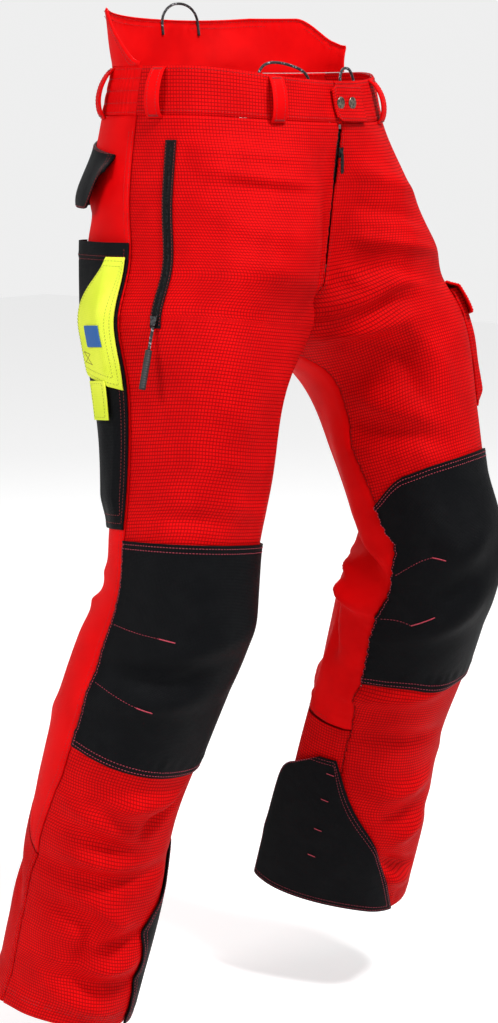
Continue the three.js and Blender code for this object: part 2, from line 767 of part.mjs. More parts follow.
function hipPocketBag(side) {
  const outer = PAD_OUTER - PAD_THICKNESS - 2 * LAYER_GAP;
  return patch(side, 4, 8, {
    left: (level) => hipZipDegrees(level)[0] - HIP_BAG_SIDE,
    right: (level) => hipZipDegrees(level)[0] - HIP_BAG_FRONT,
    top: () => HIP_ZIP_TOP + 4,
    bottom: (u) => HIP_ZIP_BOTTOM + HIP_BAG_BELOW_ZIP - HIP_BAG_SLOPE * u * u,
  }, () => outer - HIP_BAG_THICKNESS, () => outer);
}

// The straight run of the slider just clear of the tape, which bows a little between its ends.
function hipRun(side) {
  const rest = HIP_TAPE_REST + HIP_TAPE_THICKNESS;
  const low = hipZipPoint(side, HIP_ZIP_BOTTOM - HIP_RUN_ABOVE_BOTTOM, rest);
  const high = hipZipPoint(side, HIP_ZIP_TOP + HIP_RUN_BELOW_TOP, rest);
  const up = high.clone().sub(low).normalize();
  const outside = hipZipPoint(side, HIP_ZIP_BOTTOM - HIP_RUN_ABOVE_BOTTOM, rest + 10).sub(low);
  const out = outside.addScaledVector(up, -outside.dot(up)).normalize();
  let bow = 0;
  for (let level = HIP_ZIP_TOP; level <= HIP_ZIP_BOTTOM; level += 10) {
    for (const swing of [-3, 0, 3]) {
      const point = onBody(side, level, hipZipDegrees(level)[0] + swing, rest);
      bow = Math.max(bow, point.sub(low).dot(out));
    }
  }
  return { low: low.addScaledVector(out, bow + HIP_RUN_CLEAR), up, out };
}

// The pull hangs from the slider's eye and stands out from the cloth, so that the cloth's curve passes
// behind it wherever the slider is.
function hipPullFrame(side, run) {
  const eye = run.low.clone().addScaledVector(run.up, -SLIDER_LENGTH / 2 - 1);
  eye.addScaledVector(run.out, PULL_CLEAR / 2);
  const level = HIP_ZIP_BOTTOM + PULL_CORD_LENGTH + PULL_GRIP_LENGTH;
  const out = HIP_TAPE_REST + PULL_CLEAR + PULL_GRIP_RADIUS;
  let nearest = onBody(side, level, 0, out);
  for (let degrees = -40; degrees <= 40; degrees++) {
    const point = onBody(side, level, degrees, out);
    if (Math.abs(point.y - eye.y) < Math.abs(nearest.y - eye.y)) nearest = point;
  }
  nearest.y = eye.y;
  const down = nearest.sub(eye).normalize();
  const hinge = down.clone().cross(run.out).normalize();
  return { eye, down: down.applyAxisAngle(hinge, radians(PULL_STAND_OUT)) };
}

function pullCord(frame) {
  const start = frame.eye;
  const end = start.clone().addScaledVector(frame.down, PULL_CORD_LENGTH);
  return roundBar(start, end, PULL_CORD_RADIUS, 8, 6);
}

function pullGrip(frame) {
  const start = frame.eye.clone().addScaledVector(frame.down, PULL_CORD_LENGTH + 0.3);
  const end = start.clone().addScaledVector(frame.down, PULL_GRIP_LENGTH);
  return roundBar(start, end, PULL_GRIP_RADIUS, 12, 1);
}

function roundBar(start, end, radius, sides, steps) {
  const section = new THREE.Shape();
  for (let i = 0; i < sides; i++) {
    const angle = (2 * Math.PI * i) / sides;
    const step = i === 0 ? "moveTo" : "lineTo";
    section[step](radius * Math.cos(angle), radius * Math.sin(angle));
  }
  section.closePath();
  const path = new THREE.LineCurve3(start, end);
  return new THREE.ExtrudeGeometry(section, { extrudePath: path, steps, bevelEnabled: false });
}

for (const side of [RIGHT, LEFT]) {
  const run = hipRun(side);
  add("hip_zip_" + side.name, hipZipTape(side), ZIP_BLACK);
  add("hip_pocket_bag_" + side.name, hipPocketBag(side), LINING_GREY);
  lay(add("hip_zip_slider_" + side.name, sliderSolid(), ZIP_BLACK), run.low, run.up, run.out);
  const frame = hipPullFrame(side, run);
  add("hip_pull_cord_" + side.name, pullCord(frame), BLACK_NYLON);
  add("hip_pull_grip_" + side.name, pullGrip(frame), RUBBER_BLACK);
}

// ---- Pockets: a cloth wall that stands away from the garment in the middle and is open at the top ----
const POCKET_BULGE = 7;
const POCKET_SIDE_SHARE = 0.2;
const POCKET_FOOT_SHARE = 0.12;

function pocketLift(u, v) {
  const across = smooth(u / POCKET_SIDE_SHARE) * smooth((1 - u) / POCKET_SIDE_SHARE);
  return PATCH_GAP + POCKET_BULGE * across * smooth((1 - v) / POCKET_FOOT_SHARE);
}

function pocket(side, shape) {
  return patch(side, 8, 8, shape, pocketLift, (u, v) => pocketLift(u, v) + PATCH_THICKNESS);
}

const KNEE_PATCH_TOP = KNEE_LEVEL - 68;
const KNEE_PATCH_BOTTOM = KNEE_LEVEL + 164;
const THIGH_POCKET = {
  left: () => 52,
  right: (level) => sideEdge(RIGHT, level, 2),
  top: () => 180,
  bottom: () => KNEE_PATCH_TOP - 11,
};
const CARGO_POCKET = {
  left: () => -21,
  right: () => -54,
  top: () => KNEE_PATCH_TOP - 198,
  bottom: () => KNEE_PATCH_TOP - 48,
};
const REAR_BAG = {
  left: () => 76,
  right: () => 26,
  top: () => 100,
  bottom: () => 235,
};
const REAR_BAG_OUTER = -SHELL_THICKNESS - 2.5;
const REAR_BAG_THICKNESS = 1.6;

add("thigh_pocket", pocket(RIGHT, THIGH_POCKET), BLACK_NYLON);
add("cargo_pocket", pocket(LEFT, CARGO_POCKET), RED_GRID);
add(
  "rear_pocket_bag",
  patch(RIGHT, 6, 5, REAR_BAG, () => REAR_BAG_OUTER - REAR_BAG_THICKNESS, () => REAR_BAG_OUTER),
  LINING_GREY,
);

// ---- First-aid pocket on the upper thigh pocket, its label and its pull tab ----
const FIRST_AID_REST = 1.6;
const FIRST_AID_PATCH = {
  left: (level) => lerp(14, 42, smooth((level - 190) / 90)),
  right: (level) => sideEdge(RIGHT, level, 5),
  top: () => 196,
  bottom: (u) => 328 + 16 * u,
};

function overThighPocket(level, degrees) {
  const from = THIGH_POCKET.left();
  const to = THIGH_POCKET.right(level);
  const u = (degrees - from) / (to - from);
  const v = (level - THIGH_POCKET.top()) / (THIGH_POCKET.bottom() - THIGH_POCKET.top());
  return pocketLift(u, v) + PATCH_THICKNESS;
}

function layered(side, columns, rows, shape, rest, thickness) {
  return sheet(columns, rows, (u, v, w) => {
    const level = lerp(shape.top(u), shape.bottom(u), v);
    const degrees = lerp(shape.left(level), shape.right(level), u);
    return onBody(side, level, degrees, overThighPocket(level, degrees) + rest + thickness * w);
  });
}

const LABEL_REST = FIRST_AID_REST + PATCH_THICKNESS + 0.7;
const LABEL_SHAPE = { left: () => 27, right: () => 15, top: () => 276, bottom: () => 300 };
const TAB_PULL_SHAPE = { left: () => 34, right: () => 18, top: () => 335, bottom: () => 375 };

add(
  "first_aid_pocket",
  layered(RIGHT, 6, 8, FIRST_AID_PATCH, FIRST_AID_REST, PATCH_THICKNESS),
  HIVIS_YELLOW,
);
add("pocket_label", layered(RIGHT, 2, 2, LABEL_SHAPE, LABEL_REST, 0.8), LABEL_BLUE);
add(
  "first_aid_pull_tab",
  layered(RIGHT, 3, 4, TAB_PULL_SHAPE, LABEL_REST, PATCH_THICKNESS),
  HIVIS_YELLOW,
);

// ---- Flaps: hinged along a straight line at their sewn top edge ----
const FLAP_THICKNESS = 2.4;
const FLAP_CLEAR = 0.8;

function flap(side, shape, lift) {
  return patch(side, 8, 4, shape, lift, (u, v) => lift(u, v) + FLAP_THICKNESS);
}

const REAR_FLAP = {
  left: () => 80,
  right: () => 12,
  top: (u) => lerp(66, 90, u),
  bottom: (u) => 146 - 38 * smooth((u - 0.78) / 0.22),
};
const CARGO_FLAP = {
  left: () => -19,
  right: () => -56,
  top: () => CARGO_POCKET.top() - 16,
  bottom: () => CARGO_POCKET.top() + 44,
};
const REAR_FLAP_CURL = 12;

function rearFlapLift(u, v) {
  return FLAP_CLEAR + REAR_FLAP_CURL * smooth(v);
}

function cargoFlapLift(u, v) {
  const over = PATCH_OUTER + FLAP_CLEAR + POCKET_BULGE;
  return lerp(PATCH_GAP, over, smooth(v / 0.25));
}

add("rear_pocket_flap", flap(RIGHT, REAR_FLAP, rearFlapLift), BLACK_NYLON);
add("cargo_pocket_flap", flap(LEFT, CARGO_FLAP, cargoFlapLift), RED_SMOOTH);

// ---- Knee and kick patches ----
const KNEE_PATCH_CORNER = 30;
const KNEE_PATCH_SPAN = 190;
const KNEE_PATCH_CORNER_SHARE = 0.15;
const KNEE_PATCH_CORNER_OVER = 28;
const KNEE_PATCH_INSET = 2;
const KICK_TOP = SIDE_LENGTH - 192;
const KICK_ABOVE_HEM = 2;
const KICK_GAP = 2.2;

function kneePatch(side) {
  const between = LONG_LEVELS.filter(
    (level) => level > KNEE_PATCH_TOP + KNEE_PATCH_CORNER && level < KNEE_PATCH_BOTTOM - ROW_SPACE,
  );
  const corner = sideSeam(KNEE_PATCH_TOP) - KNEE_PATCH_SPAN * (1 - KNEE_PATCH_CORNER_SHARE);
  return longPanel(side, {
    levels: [KNEE_PATCH_TOP, ...between, KNEE_PATCH_BOTTOM],
    columns: evenColumns(SHELL_COLUMNS),
    left: (level) => sideEdge(side, level, -2),
    right: (level) => frontInnerEdge(side, level) + KNEE_PATCH_INSET,
    top: (degrees) =>
      KNEE_PATCH_TOP + KNEE_PATCH_CORNER * smooth((corner - degrees) / KNEE_PATCH_CORNER_OVER),
    bottom: () => KNEE_PATCH_BOTTOM,
    inner: PATCH_GAP,
    outer: PATCH_OUTER,
  });
}

// The front edge of the kick panel; the right trouser leg is turned forwards below the knee.
const kickFront = {
  left: curveThrough([
    [KICK_TOP, -158],
    [KICK_TOP + 74, -143],
    [KICK_TOP + 149, -114],
    [SIDE_LENGTH, -98],
  ]),
  right: curveThrough([
    [KICK_TOP, -150],
    [KICK_TOP + 30, -130],
    [KICK_TOP + 62, -100],
    [KICK_TOP + 112, -103],
    [SIDE_LENGTH, -103],
  ]),
};
const kickRear = curveThrough([
  [KICK_TOP, -166],
  [KICK_TOP + 32, -186],
  [KICK_TOP + 72, -194],
  [SIDE_LENGTH, -194],
]);

function kickPanel(side) {
  return patch(side, 9, 10, {
    left: (level) => kickFront[side.name](level)[0],
    right: (level) => kickRear(level)[0],
    top: () => KICK_TOP,
    bottom: () => SIDE_LENGTH - KICK_ABOVE_HEM,
  }, () => KICK_GAP, () => KICK_GAP + PATCH_THICKNESS);
}

for (const side of [RIGHT, LEFT]) {
  add("knee_patch_" + side.name, kneePatch(side), BLACK_NYLON);
  add("kick_panel_" + side.name, kickPanel(side), BLACK_NYLON);
}

// ---- Cord loops at the waist ----
// Each spot of a route: x from the middle plane, height above the waist, and how far out it lies from the
// kidney panel's outer face (hanger) or from the front's outer surface (brace loops).
const LOOP_CORD_RADIUS = 1.5;
const LOOP_CORD_SIDES = 8;
const LOOP_CORD_STEPS = 18;
const HANGER_ROUTE = [
  [2, 40, -3.38], [2, 48, -3.49], [2.4, 56, -3.61], [5, 63, -3.78], [11, 69.5, -4.39], [19, 73.5, -4.62],
  [28, 75, -4.56], [37, 74.5, -4.71], [46, 71.5, -4.52], [53, 66, -4.13], [57.5, 58.5, -3.46],
  [58.5, 50, -3.35], [58.5, 41, -3.43],
];
const FRONT_RIGHT_ROUTE = [
  [-97, -20, -7.25], [-97, -14, -7.19], [-96.5, -8, -6.62], [-92, -1, -4.96], [-84, 2.5, -5.26],
  [-74, 3, -5.41], [-63, 1.5, -5.15], [-52, -1, -5.01], [-42, -4.5, -5.54], [-35.5, -9, -6.21],
  [-33, -14.5, -6.34], [-33, -21, -6.31],
];
const FRONT_LEFT_ROUTE = [
  [20, -27, -5.62], [20, -20, -5.55], [20.5, -13, -5.46], [23, -6, -4.92], [28, -1.5, -4.55],
  [35, 0, -4.52], [42, -1.5, -4.88], [47, -6, -5.7], [49.5, -12, -5.97], [50, -18, -5.79],
  [50, -27, -5.87],
];

function frontSpot([x, height, out]) {
  return acrossFront(x, -height, out);
}

function kidneySpot([x, height, out]) {
  const side = x < 0 ? RIGHT : LEFT;
  const degrees = -frontDegreesAt(side, 0, Math.abs(x));
  const point = onBody(side, 0, degrees, out + kidneyOut(height));
  point.x = x;
  point.z = height;
  return point;
}

function cordLoop(spots) {
  const path = new THREE.CatmullRomCurve3(spots);
  const section = new THREE.Shape();
  section.absarc(0, 0, LOOP_CORD_RADIUS, 0, 2 * Math.PI, false);
  const shape = new THREE.Shape(section.getPoints(LOOP_CORD_SIDES).slice(0, LOOP_CORD_SIDES));
  const run = { extrudePath: path, steps: LOOP_CORD_STEPS, bevelEnabled: false };
  return new THREE.ExtrudeGeometry(shape, run);
}

add("hanger_cord_back", cordLoop(HANGER_ROUTE.map(kidneySpot)), BLACK_NYLON);
add("brace_cord_front_right", cordLoop(FRONT_RIGHT_ROUTE.map(frontSpot)), BLACK_NYLON);
add("brace_cord_front_left", cordLoop(FRONT_LEFT_ROUTE.map(frontSpot)), BLACK_NYLON);

export default garment;
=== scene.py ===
import math

import bmesh
import bpy
import numpy as np
from mathutils import Matrix, Vector


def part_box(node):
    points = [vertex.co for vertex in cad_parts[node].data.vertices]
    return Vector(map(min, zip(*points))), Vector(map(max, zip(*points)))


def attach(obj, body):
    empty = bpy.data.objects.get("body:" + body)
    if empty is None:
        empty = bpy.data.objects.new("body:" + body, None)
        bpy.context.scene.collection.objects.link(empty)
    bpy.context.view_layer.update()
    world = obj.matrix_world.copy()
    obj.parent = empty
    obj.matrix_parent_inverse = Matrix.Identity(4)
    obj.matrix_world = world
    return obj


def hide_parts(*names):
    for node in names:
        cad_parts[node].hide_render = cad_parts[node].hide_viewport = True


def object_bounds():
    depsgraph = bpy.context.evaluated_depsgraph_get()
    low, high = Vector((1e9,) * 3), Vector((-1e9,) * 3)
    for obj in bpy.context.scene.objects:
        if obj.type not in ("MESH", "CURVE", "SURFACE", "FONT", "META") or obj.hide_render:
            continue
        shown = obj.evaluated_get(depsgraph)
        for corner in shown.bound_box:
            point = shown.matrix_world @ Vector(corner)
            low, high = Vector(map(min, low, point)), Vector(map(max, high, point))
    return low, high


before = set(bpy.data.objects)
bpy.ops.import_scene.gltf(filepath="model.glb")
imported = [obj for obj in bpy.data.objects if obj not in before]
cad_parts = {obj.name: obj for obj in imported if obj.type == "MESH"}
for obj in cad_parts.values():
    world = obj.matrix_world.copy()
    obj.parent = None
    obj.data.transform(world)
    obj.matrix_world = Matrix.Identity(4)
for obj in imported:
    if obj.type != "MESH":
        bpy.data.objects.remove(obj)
box_at_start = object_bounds()

# ---- Camera, light and floor ----
# The trousers hang filled out, seen from the wearer's right front at waist height, in a pale studio: a
# soft light from the front, a weaker one from the right, a faint one from behind, and a floor below.
CAMERA_PLACE = (-1.79906, -1.42081, -0.07039)
CAMERA_AIM = (0, 0, -0.487)
LENS = 72.86
ROOM_LIGHT = 0.45
BACKDROP_BRIGHTNESS = 0.86
FLOOR_BRIGHTNESS = 0.4

camera = bpy.data.objects.new("camera", bpy.data.cameras.new("camera"))
bpy.context.scene.collection.objects.link(camera)
camera.location = CAMERA_PLACE
camera.rotation_euler = (Vector(CAMERA_AIM) - Vector(CAMERA_PLACE)).to_track_quat("-Z", "Y").to_euler()
camera.data.lens = LENS
camera.data.sensor_width = 36
bpy.context.scene.camera = camera
bpy.context.scene.view_settings.view_transform = "Standard"

studio = bpy.data.worlds.new("studio")
studio.use_nodes = True
sky = studio.node_tree.nodes["Background"]
sky.inputs["Color"].default_value = (1, 1, 1, 1)
sight = studio.node_tree.nodes.new("ShaderNodeLightPath")
backdrop = studio.node_tree.nodes.new("ShaderNodeMapRange")
backdrop.inputs["To Min"].default_value = ROOM_LIGHT
backdrop.inputs["To Max"].default_value = BACKDROP_BRIGHTNESS
studio.node_tree.links.new(sight.outputs["Is Camera Ray"], backdrop.inputs["Value"])
studio.node_tree.links.new(backdrop.outputs["Result"], sky.inputs["Strength"])
bpy.context.scene.world = studio


def soft_light(name, place, aim, size, power):
    light = bpy.data.objects.new(name, bpy.data.lights.new(name, "AREA"))
    light.data.shape = "SQUARE"
    light.data.size = size
    light.data.energy = power
    light.location = place
    light.rotation_euler = (Vector(aim) - Vector(place)).to_track_quat("-Z", "Y").to_euler()
    bpy.context.scene.collection.objects.link(light)


soft_light("front_light", (-0.1, -1.7, 2.4), (0, 0, -0.5), 0.6, 92)
soft_light("side_light", (-2.8, 0.3, 1.2), (0, 0, -0.5), 0.8, 36)
soft_light("back_light", (1.8, 2.2, 1.4), (0, 0, -0.4), 1.4, 16)

FLOOR_BELOW_HEM = 0.06
floor_mesh = bmesh.new()
bmesh.ops.create_grid(floor_mesh, x_segments=1, y_segments=1, size=8)
bmesh.ops.translate(floor_mesh, verts=floor_mesh.verts, vec=(0, 0, box_at_start[0].z - FLOOR_BELOW_HEM))
floor = bpy.data.objects.new("floor", bpy.data.meshes.new("floor"))
floor_mesh.to_mesh(floor.data)
floor_mesh.free()
bpy.context.scene.collection.objects.link(floor)
floor_paint = bpy.data.materials.new("floor_paint")
floor_paint.use_nodes = True
floor_shader = floor_paint.node_tree.nodes["Principled BSDF"]
floor_shader.inputs["Base Color"].default_value = (0.9, 0.9, 0.9, 1)
floor_shader.inputs["Roughness"].default_value = 0.8
floor_shader.inputs["Emission Color"].default_value = (1, 1, 1, 1)
floor_sight = floor_paint.node_tree.nodes.new("ShaderNodeLightPath")
floor_glow = floor_paint.node_tree.nodes.new("ShaderNodeMapRange")
floor_glow.inputs["To Max"].default_value = FLOOR_BRIGHTNESS
floor_paint.node_tree.links.new(floor_sight.outputs["Is Camera Ray"], floor_glow.inputs["Value"])
floor_paint.node_tree.links.new(floor_glow.outputs["Result"], floor_shader.inputs["Emission Strength"])
floor.data.materials.append(floor_paint)

# ---- Cord loops at the waist ----
# A hanger loop behind the kidney panel and two brace loops inside the front waistband. Each is a 3 mm
# braided black cord with grey flecks, sewn in at both ends.
CORD_DIAMETER = 0.003
CORD_SIDES = 12
HANGER_ROUTE = [
    (2, 123.6, 40), (2, 124.6, 48), (2.4, 125.2, 56), (5, 125.2, 63), (11, 124.5, 69.5), (19, 124, 73.5),
    (28, 123.5, 75), (37, 122.5, 74.5), (46, 121.5, 71.5), (53, 120.7, 66), (57.5, 120.4, 58.5),
    (58.5, 119.7, 50), (58.5, 118.5, 41),
]
RIGHT_BRACE_ROUTE = [
    (-97, -90.6, -20), (-97, -89.4, -14), (-96.5, -88.8, -8), (-92, -90.5, -1), (-84, -93, 2.5),
    (-74, -96, 3), (-63, -99, 1.5), (-52, -101.5, -1), (-42, -103.2, -4.5), (-35.5, -104.2, -9),
    (-33, -105.4, -14.5), (-33, -106.7, -21),
]
LEFT_BRACE_ROUTE = [
    (20, -109.4, -27), (20, -108.1, -20), (20.5, -106.8, -13), (23, -105.8, -6), (28, -104.9, -1.5),
    (35, -104, 0), (42, -103.2, -1.5), (47, -102.7, -6), (49.5, -103.3, -12), (50, -104.6, -18),
    (50, -106.3, -27),
]


def metres(millimetres):
    return np.asarray(millimetres, float) / 1000


def smooth_route(route, steps):
    """Points along a smooth curve through the route's spots, in metres."""
    spots = metres(route)
    spots = np.vstack([2 * spots[0] - spots[1], spots, 2 * spots[-1] - spots[-2]])
    line = []
    for before, start, end, after in zip(spots[:-3], spots[1:-2], spots[2:-1], spots[3:]):
        for t in np.linspace(0, 1, steps, endpoint=False):
            line.append(
                0.5 * (2 * start + (end - before) * t + (2 * before - 5 * start + 4 * end - after) * t ** 2
                       + (3 * start - before - 3 * end + after) * t ** 3)
            )
    return np.array([*line, spots[-2]])


def link_mesh(name, shape, material, smooth_faces=True):
    mesh = bpy.data.meshes.new(name)
    shape.to_mesh(mesh)
    shape.free()
    piece = bpy.data.objects.new(name, mesh)
    bpy.context.scene.collection.objects.link(piece)
    mesh.materials.append(material)
    if smooth_faces:
        mesh.shade_smooth()
    else:
        mesh.shade_flat()
    return piece


def tube_along(name, line, radius, material, sides=CORD_SIDES):
    """A round tube along a line of points, closed at both ends, with its UV in metres round and along."""
    shape = bmesh.new()
    uv = shape.loops.layers.uv.new("cloth")
    ahead = np.gradient(line, axis=0)
    ahead /= np.linalg.norm(ahead, axis=1)[:, None]
    across = np.cross(ahead[0], (0.31, 0.2, 0.93))
    run = np.concatenate([[0], np.cumsum(np.linalg.norm(np.diff(line, axis=0), axis=1))])
    rings = []
    for spot, forward in zip(line, ahead):
        across = across - forward * across.dot(forward)
        across /= np.linalg.norm(across)
        turn = Matrix((across, np.cross(forward, across), forward)).transposed().to_4x4()
        ring = bmesh.ops.create_circle(shape, segments=sides, radius=radius,
                                       matrix=Matrix.Translation(spot) @ turn)["verts"]
        rings.append(ring)
    for i, (ring, following) in enumerate(zip(rings[:-1], rings[1:])):
        for k in range(sides):
            corners = (ring[k], ring[(k + 1) % sides], following[(k + 1) % sides], following[k])
            face = shape.faces.new(corners)
            for loop, (a, b) in zip(face.loops, ((k, i), (k + 1, i), (k + 1, i + 1), (k, i + 1))):
                loop[uv].uv = (a * math.tau * radius / sides, run[b])
    shape.faces.new(list(reversed(rings[0])))
    shape.faces.new(rings[-1])
    bmesh.ops.recalc_face_normals(shape, faces=shape.faces)
    return link_mesh(name, shape, material)


def new_finish(name, colour, roughness, sheen=0.0, shine=0.5):
    """A material and its node tree with the constants set on the shader's own sockets."""
    finish = bpy.data.materials.new(name)
    finish.use_nodes = True
    tree = finish.node_tree
    shader = tree.nodes["Principled BSDF"]
    shader.inputs["Base Color"].default_value = (*colour, 1)
    shader.inputs["Roughness"].default_value = roughness
    shader.inputs["Specular IOR Level"].default_value = shine
    shader.inputs["Sheen Weight"].default_value = sheen
    shader.inputs["Sheen Roughness"].default_value = 0.4
    return finish, tree, shader


def add_node(tree, kind, settings=None, **inputs):
    """A node with its inputs set or linked, by name, or by number as i0, i1 and so on."""
    node = tree.nodes.new(kind)
    for key, value in (settings or {}).items():
        setattr(node, key, value)
    for key, value in inputs.items():
        socket = node.inputs[int(key[1:])] if key[0] == "i" and key[1:].isdigit() else node.inputs[key]
        if isinstance(value, bpy.types.NodeSocket):
            tree.links.new(value, socket)
        else:
            socket.default_value = value
    return node


def arithmetic(tree, operation, first, second=0.0, third=0.0):
    node = add_node(tree, "ShaderNodeMath", {"operation": operation}, i0=first, i1=second, i2=third)
    return node.outputs[0]


def mixed(tree, share, first, second, blend="MIX"):
    """first and second colours mixed by share."""
    node = tree.nodes.new("ShaderNodeMix")
    node.data_type = "RGBA"
    node.blend_type = blend
    for socket, value in ((node.inputs[0], share), (node.inputs[6], first), (node.inputs[7], second)):
        if isinstance(value, bpy.types.NodeSocket):
            tree.links.new(value, socket)
        elif isinstance(value, tuple):
            socket.default_value = (*value, 1)
        else:
            socket.default_value = value
    return node.outputs[2]


def object_noise(tree, scale, detail=3.0):
    place = add_node(tree, "ShaderNodeTexCoord").outputs["Object"]
    return add_node(tree, "ShaderNodeTexNoise", Vector=place, Scale=scale, Detail=detail).outputs["Fac"]


def cloth_axes(tree):
    """The piece's own across and along in metres, from its cloth UV."""
    place = add_node(tree, "ShaderNodeUVMap", {"uv_map": "cloth"}).outputs["UV"]
    split = add_node(tree, "ShaderNodeSeparateXYZ", Vector=place)
    return split.outputs["X"], split.outputs["Y"]


def thread_wave(tree, axis, pitch, shift=0.0):
    """0 between threads and 0.5 on their middle, once every pitch metres."""
    turned = arithmetic(tree, "MULTIPLY_ADD", axis, 1 / pitch, shift)
    return arithmetic(tree, "PINGPONG", turned, 0.5)


def step_between(tree, value, low, high, start=0.0, end=1.0):
    """Runs smoothly from start to end as value goes from low to high."""
    node = add_node(tree, "ShaderNodeMapRange", {"interpolation_type": "SMOOTHSTEP"}, Value=value)
    node.inputs["From Min"].default_value = low
    node.inputs["From Max"].default_value = high
    node.inputs["To Min"].default_value = start
    node.inputs["To Max"].default_value = end
    return node.outputs["Result"]


def raise_surface(tree, shader, height, strength, distance):
    bump = add_node(tree, "ShaderNodeBump", Height=height, Strength=strength, Distance=distance)
    tree.links.new(bump.outputs["Normal"], shader.inputs["Normal"])


def braided_finish():
    """Braided polyester: strands crossing at a slant, with a few grey reflective ones."""
    finish, tree, shader = new_finish("braided_cord", (0.02, 0.02, 0.022), 0.7, 0.2)
    across, along = cloth_axes(tree)
    one_way = thread_wave(tree, arithmetic(tree, "ADD", across, along), 0.0016)
    other_way = thread_wave(tree, arithmetic(tree, "SUBTRACT", across, along), 0.0016)
    strands = arithmetic(tree, "MULTIPLY", one_way, other_way)
    flecks = step_between(tree, object_noise(tree, 420, 0), 0.62, 0.68)
    tree.links.new(mixed(tree, flecks, (0.012, 0.012, 0.014), (0.28, 0.28, 0.3)),
                   shader.inputs["Base Color"])
    raise_surface(tree, shader, strands, 0.9, 0.0006)
    return finish


braid = braided_finish()
for name, route in (
    ("hanger_cord_back", HANGER_ROUTE),
    ("brace_cord_front_right", RIGHT_BRACE_ROUTE),
    ("brace_cord_front_left", LEFT_BRACE_ROUTE),
):
    line = smooth_route(route, 4)
    cord = tube_along(name + "_braid", line, CORD_DIAMETER / 2, braid)
    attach(cord, "garment")
    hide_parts(name)

# ---- The shape that the cloth is cut to ----
# Each trouser leg is a tube of cloth from the waist to the hem, given as rings down its length and turned
# at the hip and knee into a stride. Sizes are in millimetres: level runs down the leg from the waistband's
# top edge, and degrees run from the outer side (0) over the front (-90) or the back (+90).
SIDE_LENGTH = 1030
CROTCH_DEPTH = 270
KNEE_LEVEL = 566
WAISTBAND_HEIGHT = 50
FLY_TOP = WAISTBAND_HEIGHT + 10
FLY_BOTTOM = 225
ROUNDNESS = 2.3
HIP_PIVOT = (95, 0, -170)
RIGHT = {"name": "right", "x": -1, "hip": 3.2, "spread": 7.6, "knee": 21.5, "tuck": 0, "hem_drop": 22}
LEFT = {"name": "left", "x": 1, "hip": 18.7, "spread": 3.8, "knee": 38.6, "tuck": 25, "hem_drop": 0}


def smooth(t):
    t = np.clip(t, 0, 1)
    return t * t * (3 - 2 * t)


def mix(a, b, t):
    return a + (b - a) * t


def curve_through(stations):
    """A smooth curve through rows of (level, values...), flat beyond its two ends."""
    at = np.array([row[0] for row in stations], float)
    values = np.array([row[1:] for row in stations], float)
    last = len(at) - 1

    def read(level):
        level = np.clip(np.asarray(level, float), at[0], at[-1])
        right = np.clip(np.searchsorted(at, level, side="right"), 1, last)
        left = right - 1
        before = np.where(left > 0, left - 1, right)
        after = np.where(right < last, right + 1, left)
        step = at[right] - at[left]
        weight_before = step / 2 / (at[left] - at[before])
        weight_after = step / 2 / (at[after] - at[right])
        p = (level - at[left]) / step
        p2 = p * p
        p3 = p * p * p
        shares = (
            (before, -weight_before * p3 + 2 * weight_before * p2 - weight_before * p),
            (left, (1 + weight_before) * p3 + (-1.5 - 2 * weight_before) * p2
             + (weight_before - 0.5) * p + 1),
            (right, (-1 - weight_after) * p3 + (1.5 + weight_after) * p2 + 0.5 * p),
            (after, weight_after * p3 - weight_after * p2),
        )
        return sum(values[which] * np.asarray(share)[..., None] for which, share in shares)

    return read


def down_thigh(share):
    return mix(CROTCH_DEPTH, KNEE_LEVEL, share)


def down_shin(share):
    return mix(KNEE_LEVEL, SIDE_LENGTH, share)


# Each ring: its level, its middle out from the centre line, half width, half depth, and how far back.
ring_at = curve_through([
    (0, 0, 160, 116, 6),
    (60, 5, 166, 129, 6),
    (130, 38, 150.75, 142, -6),
    (200, 96, 105, 136, -22),
    (CROTCH_DEPTH, 107, 107, 115, -23),
    (down_thigh(0.24), 127, 77, 103, -33),
    (down_thigh(0.54), 124, 74, 87, -33),
    (down_thigh(0.85), 124, 73, 77, -25),
    (down_shin(0.08), 123, 72, 85, -16),
    (down_shin(0.29), 127, 76.5, 81.5, -16),
    (down_shin(0.5), 126, 75.5, 74.5, -19),
    (down_shin(0.72), 122, 71.5, 79.5, -31),
    (down_shin(0.96), 118, 67, 79, -42),
])
LONG_LEVELS = np.array(
    [FLY_TOP, 95, 135, 175, 210, 240, CROTCH_DEPTH]
    + [down_thigh(share) for share in (0.17, 0.36, 0.56, 0.74, 0.88)] + [KNEE_LEVEL]
    + [down_shin(share) for share in (0.08, 0.17, 0.3, 0.44, 0.58, 0.7, 0.82, 0.91)] + [SIDE_LENGTH]
)


def signed_power(value, power):
    return np.sign(value) * np.abs(value) ** power


def cloth_level(side, level):
    return level - side["tuck"] * smooth((level - 150) / 250)


def turned(points, pivot, axis, degrees):
    """Points turned about a line along X (axis 0) or Y (axis 1) through the pivot."""
    c = np.cos(np.radians(degrees))
    s = np.sin(np.radians(degrees))
    x, y, z = (points[..., i] - pivot[i] for i in range(3))
    if axis == 0:
        x, y, z = x, c * y - s * z, s * y + c * z
    else:
        x, y, z = c * x + s * z, y, c * z - s * x
    return np.stack([x + pivot[0], y + pivot[1], z + pivot[2]], axis=-1)


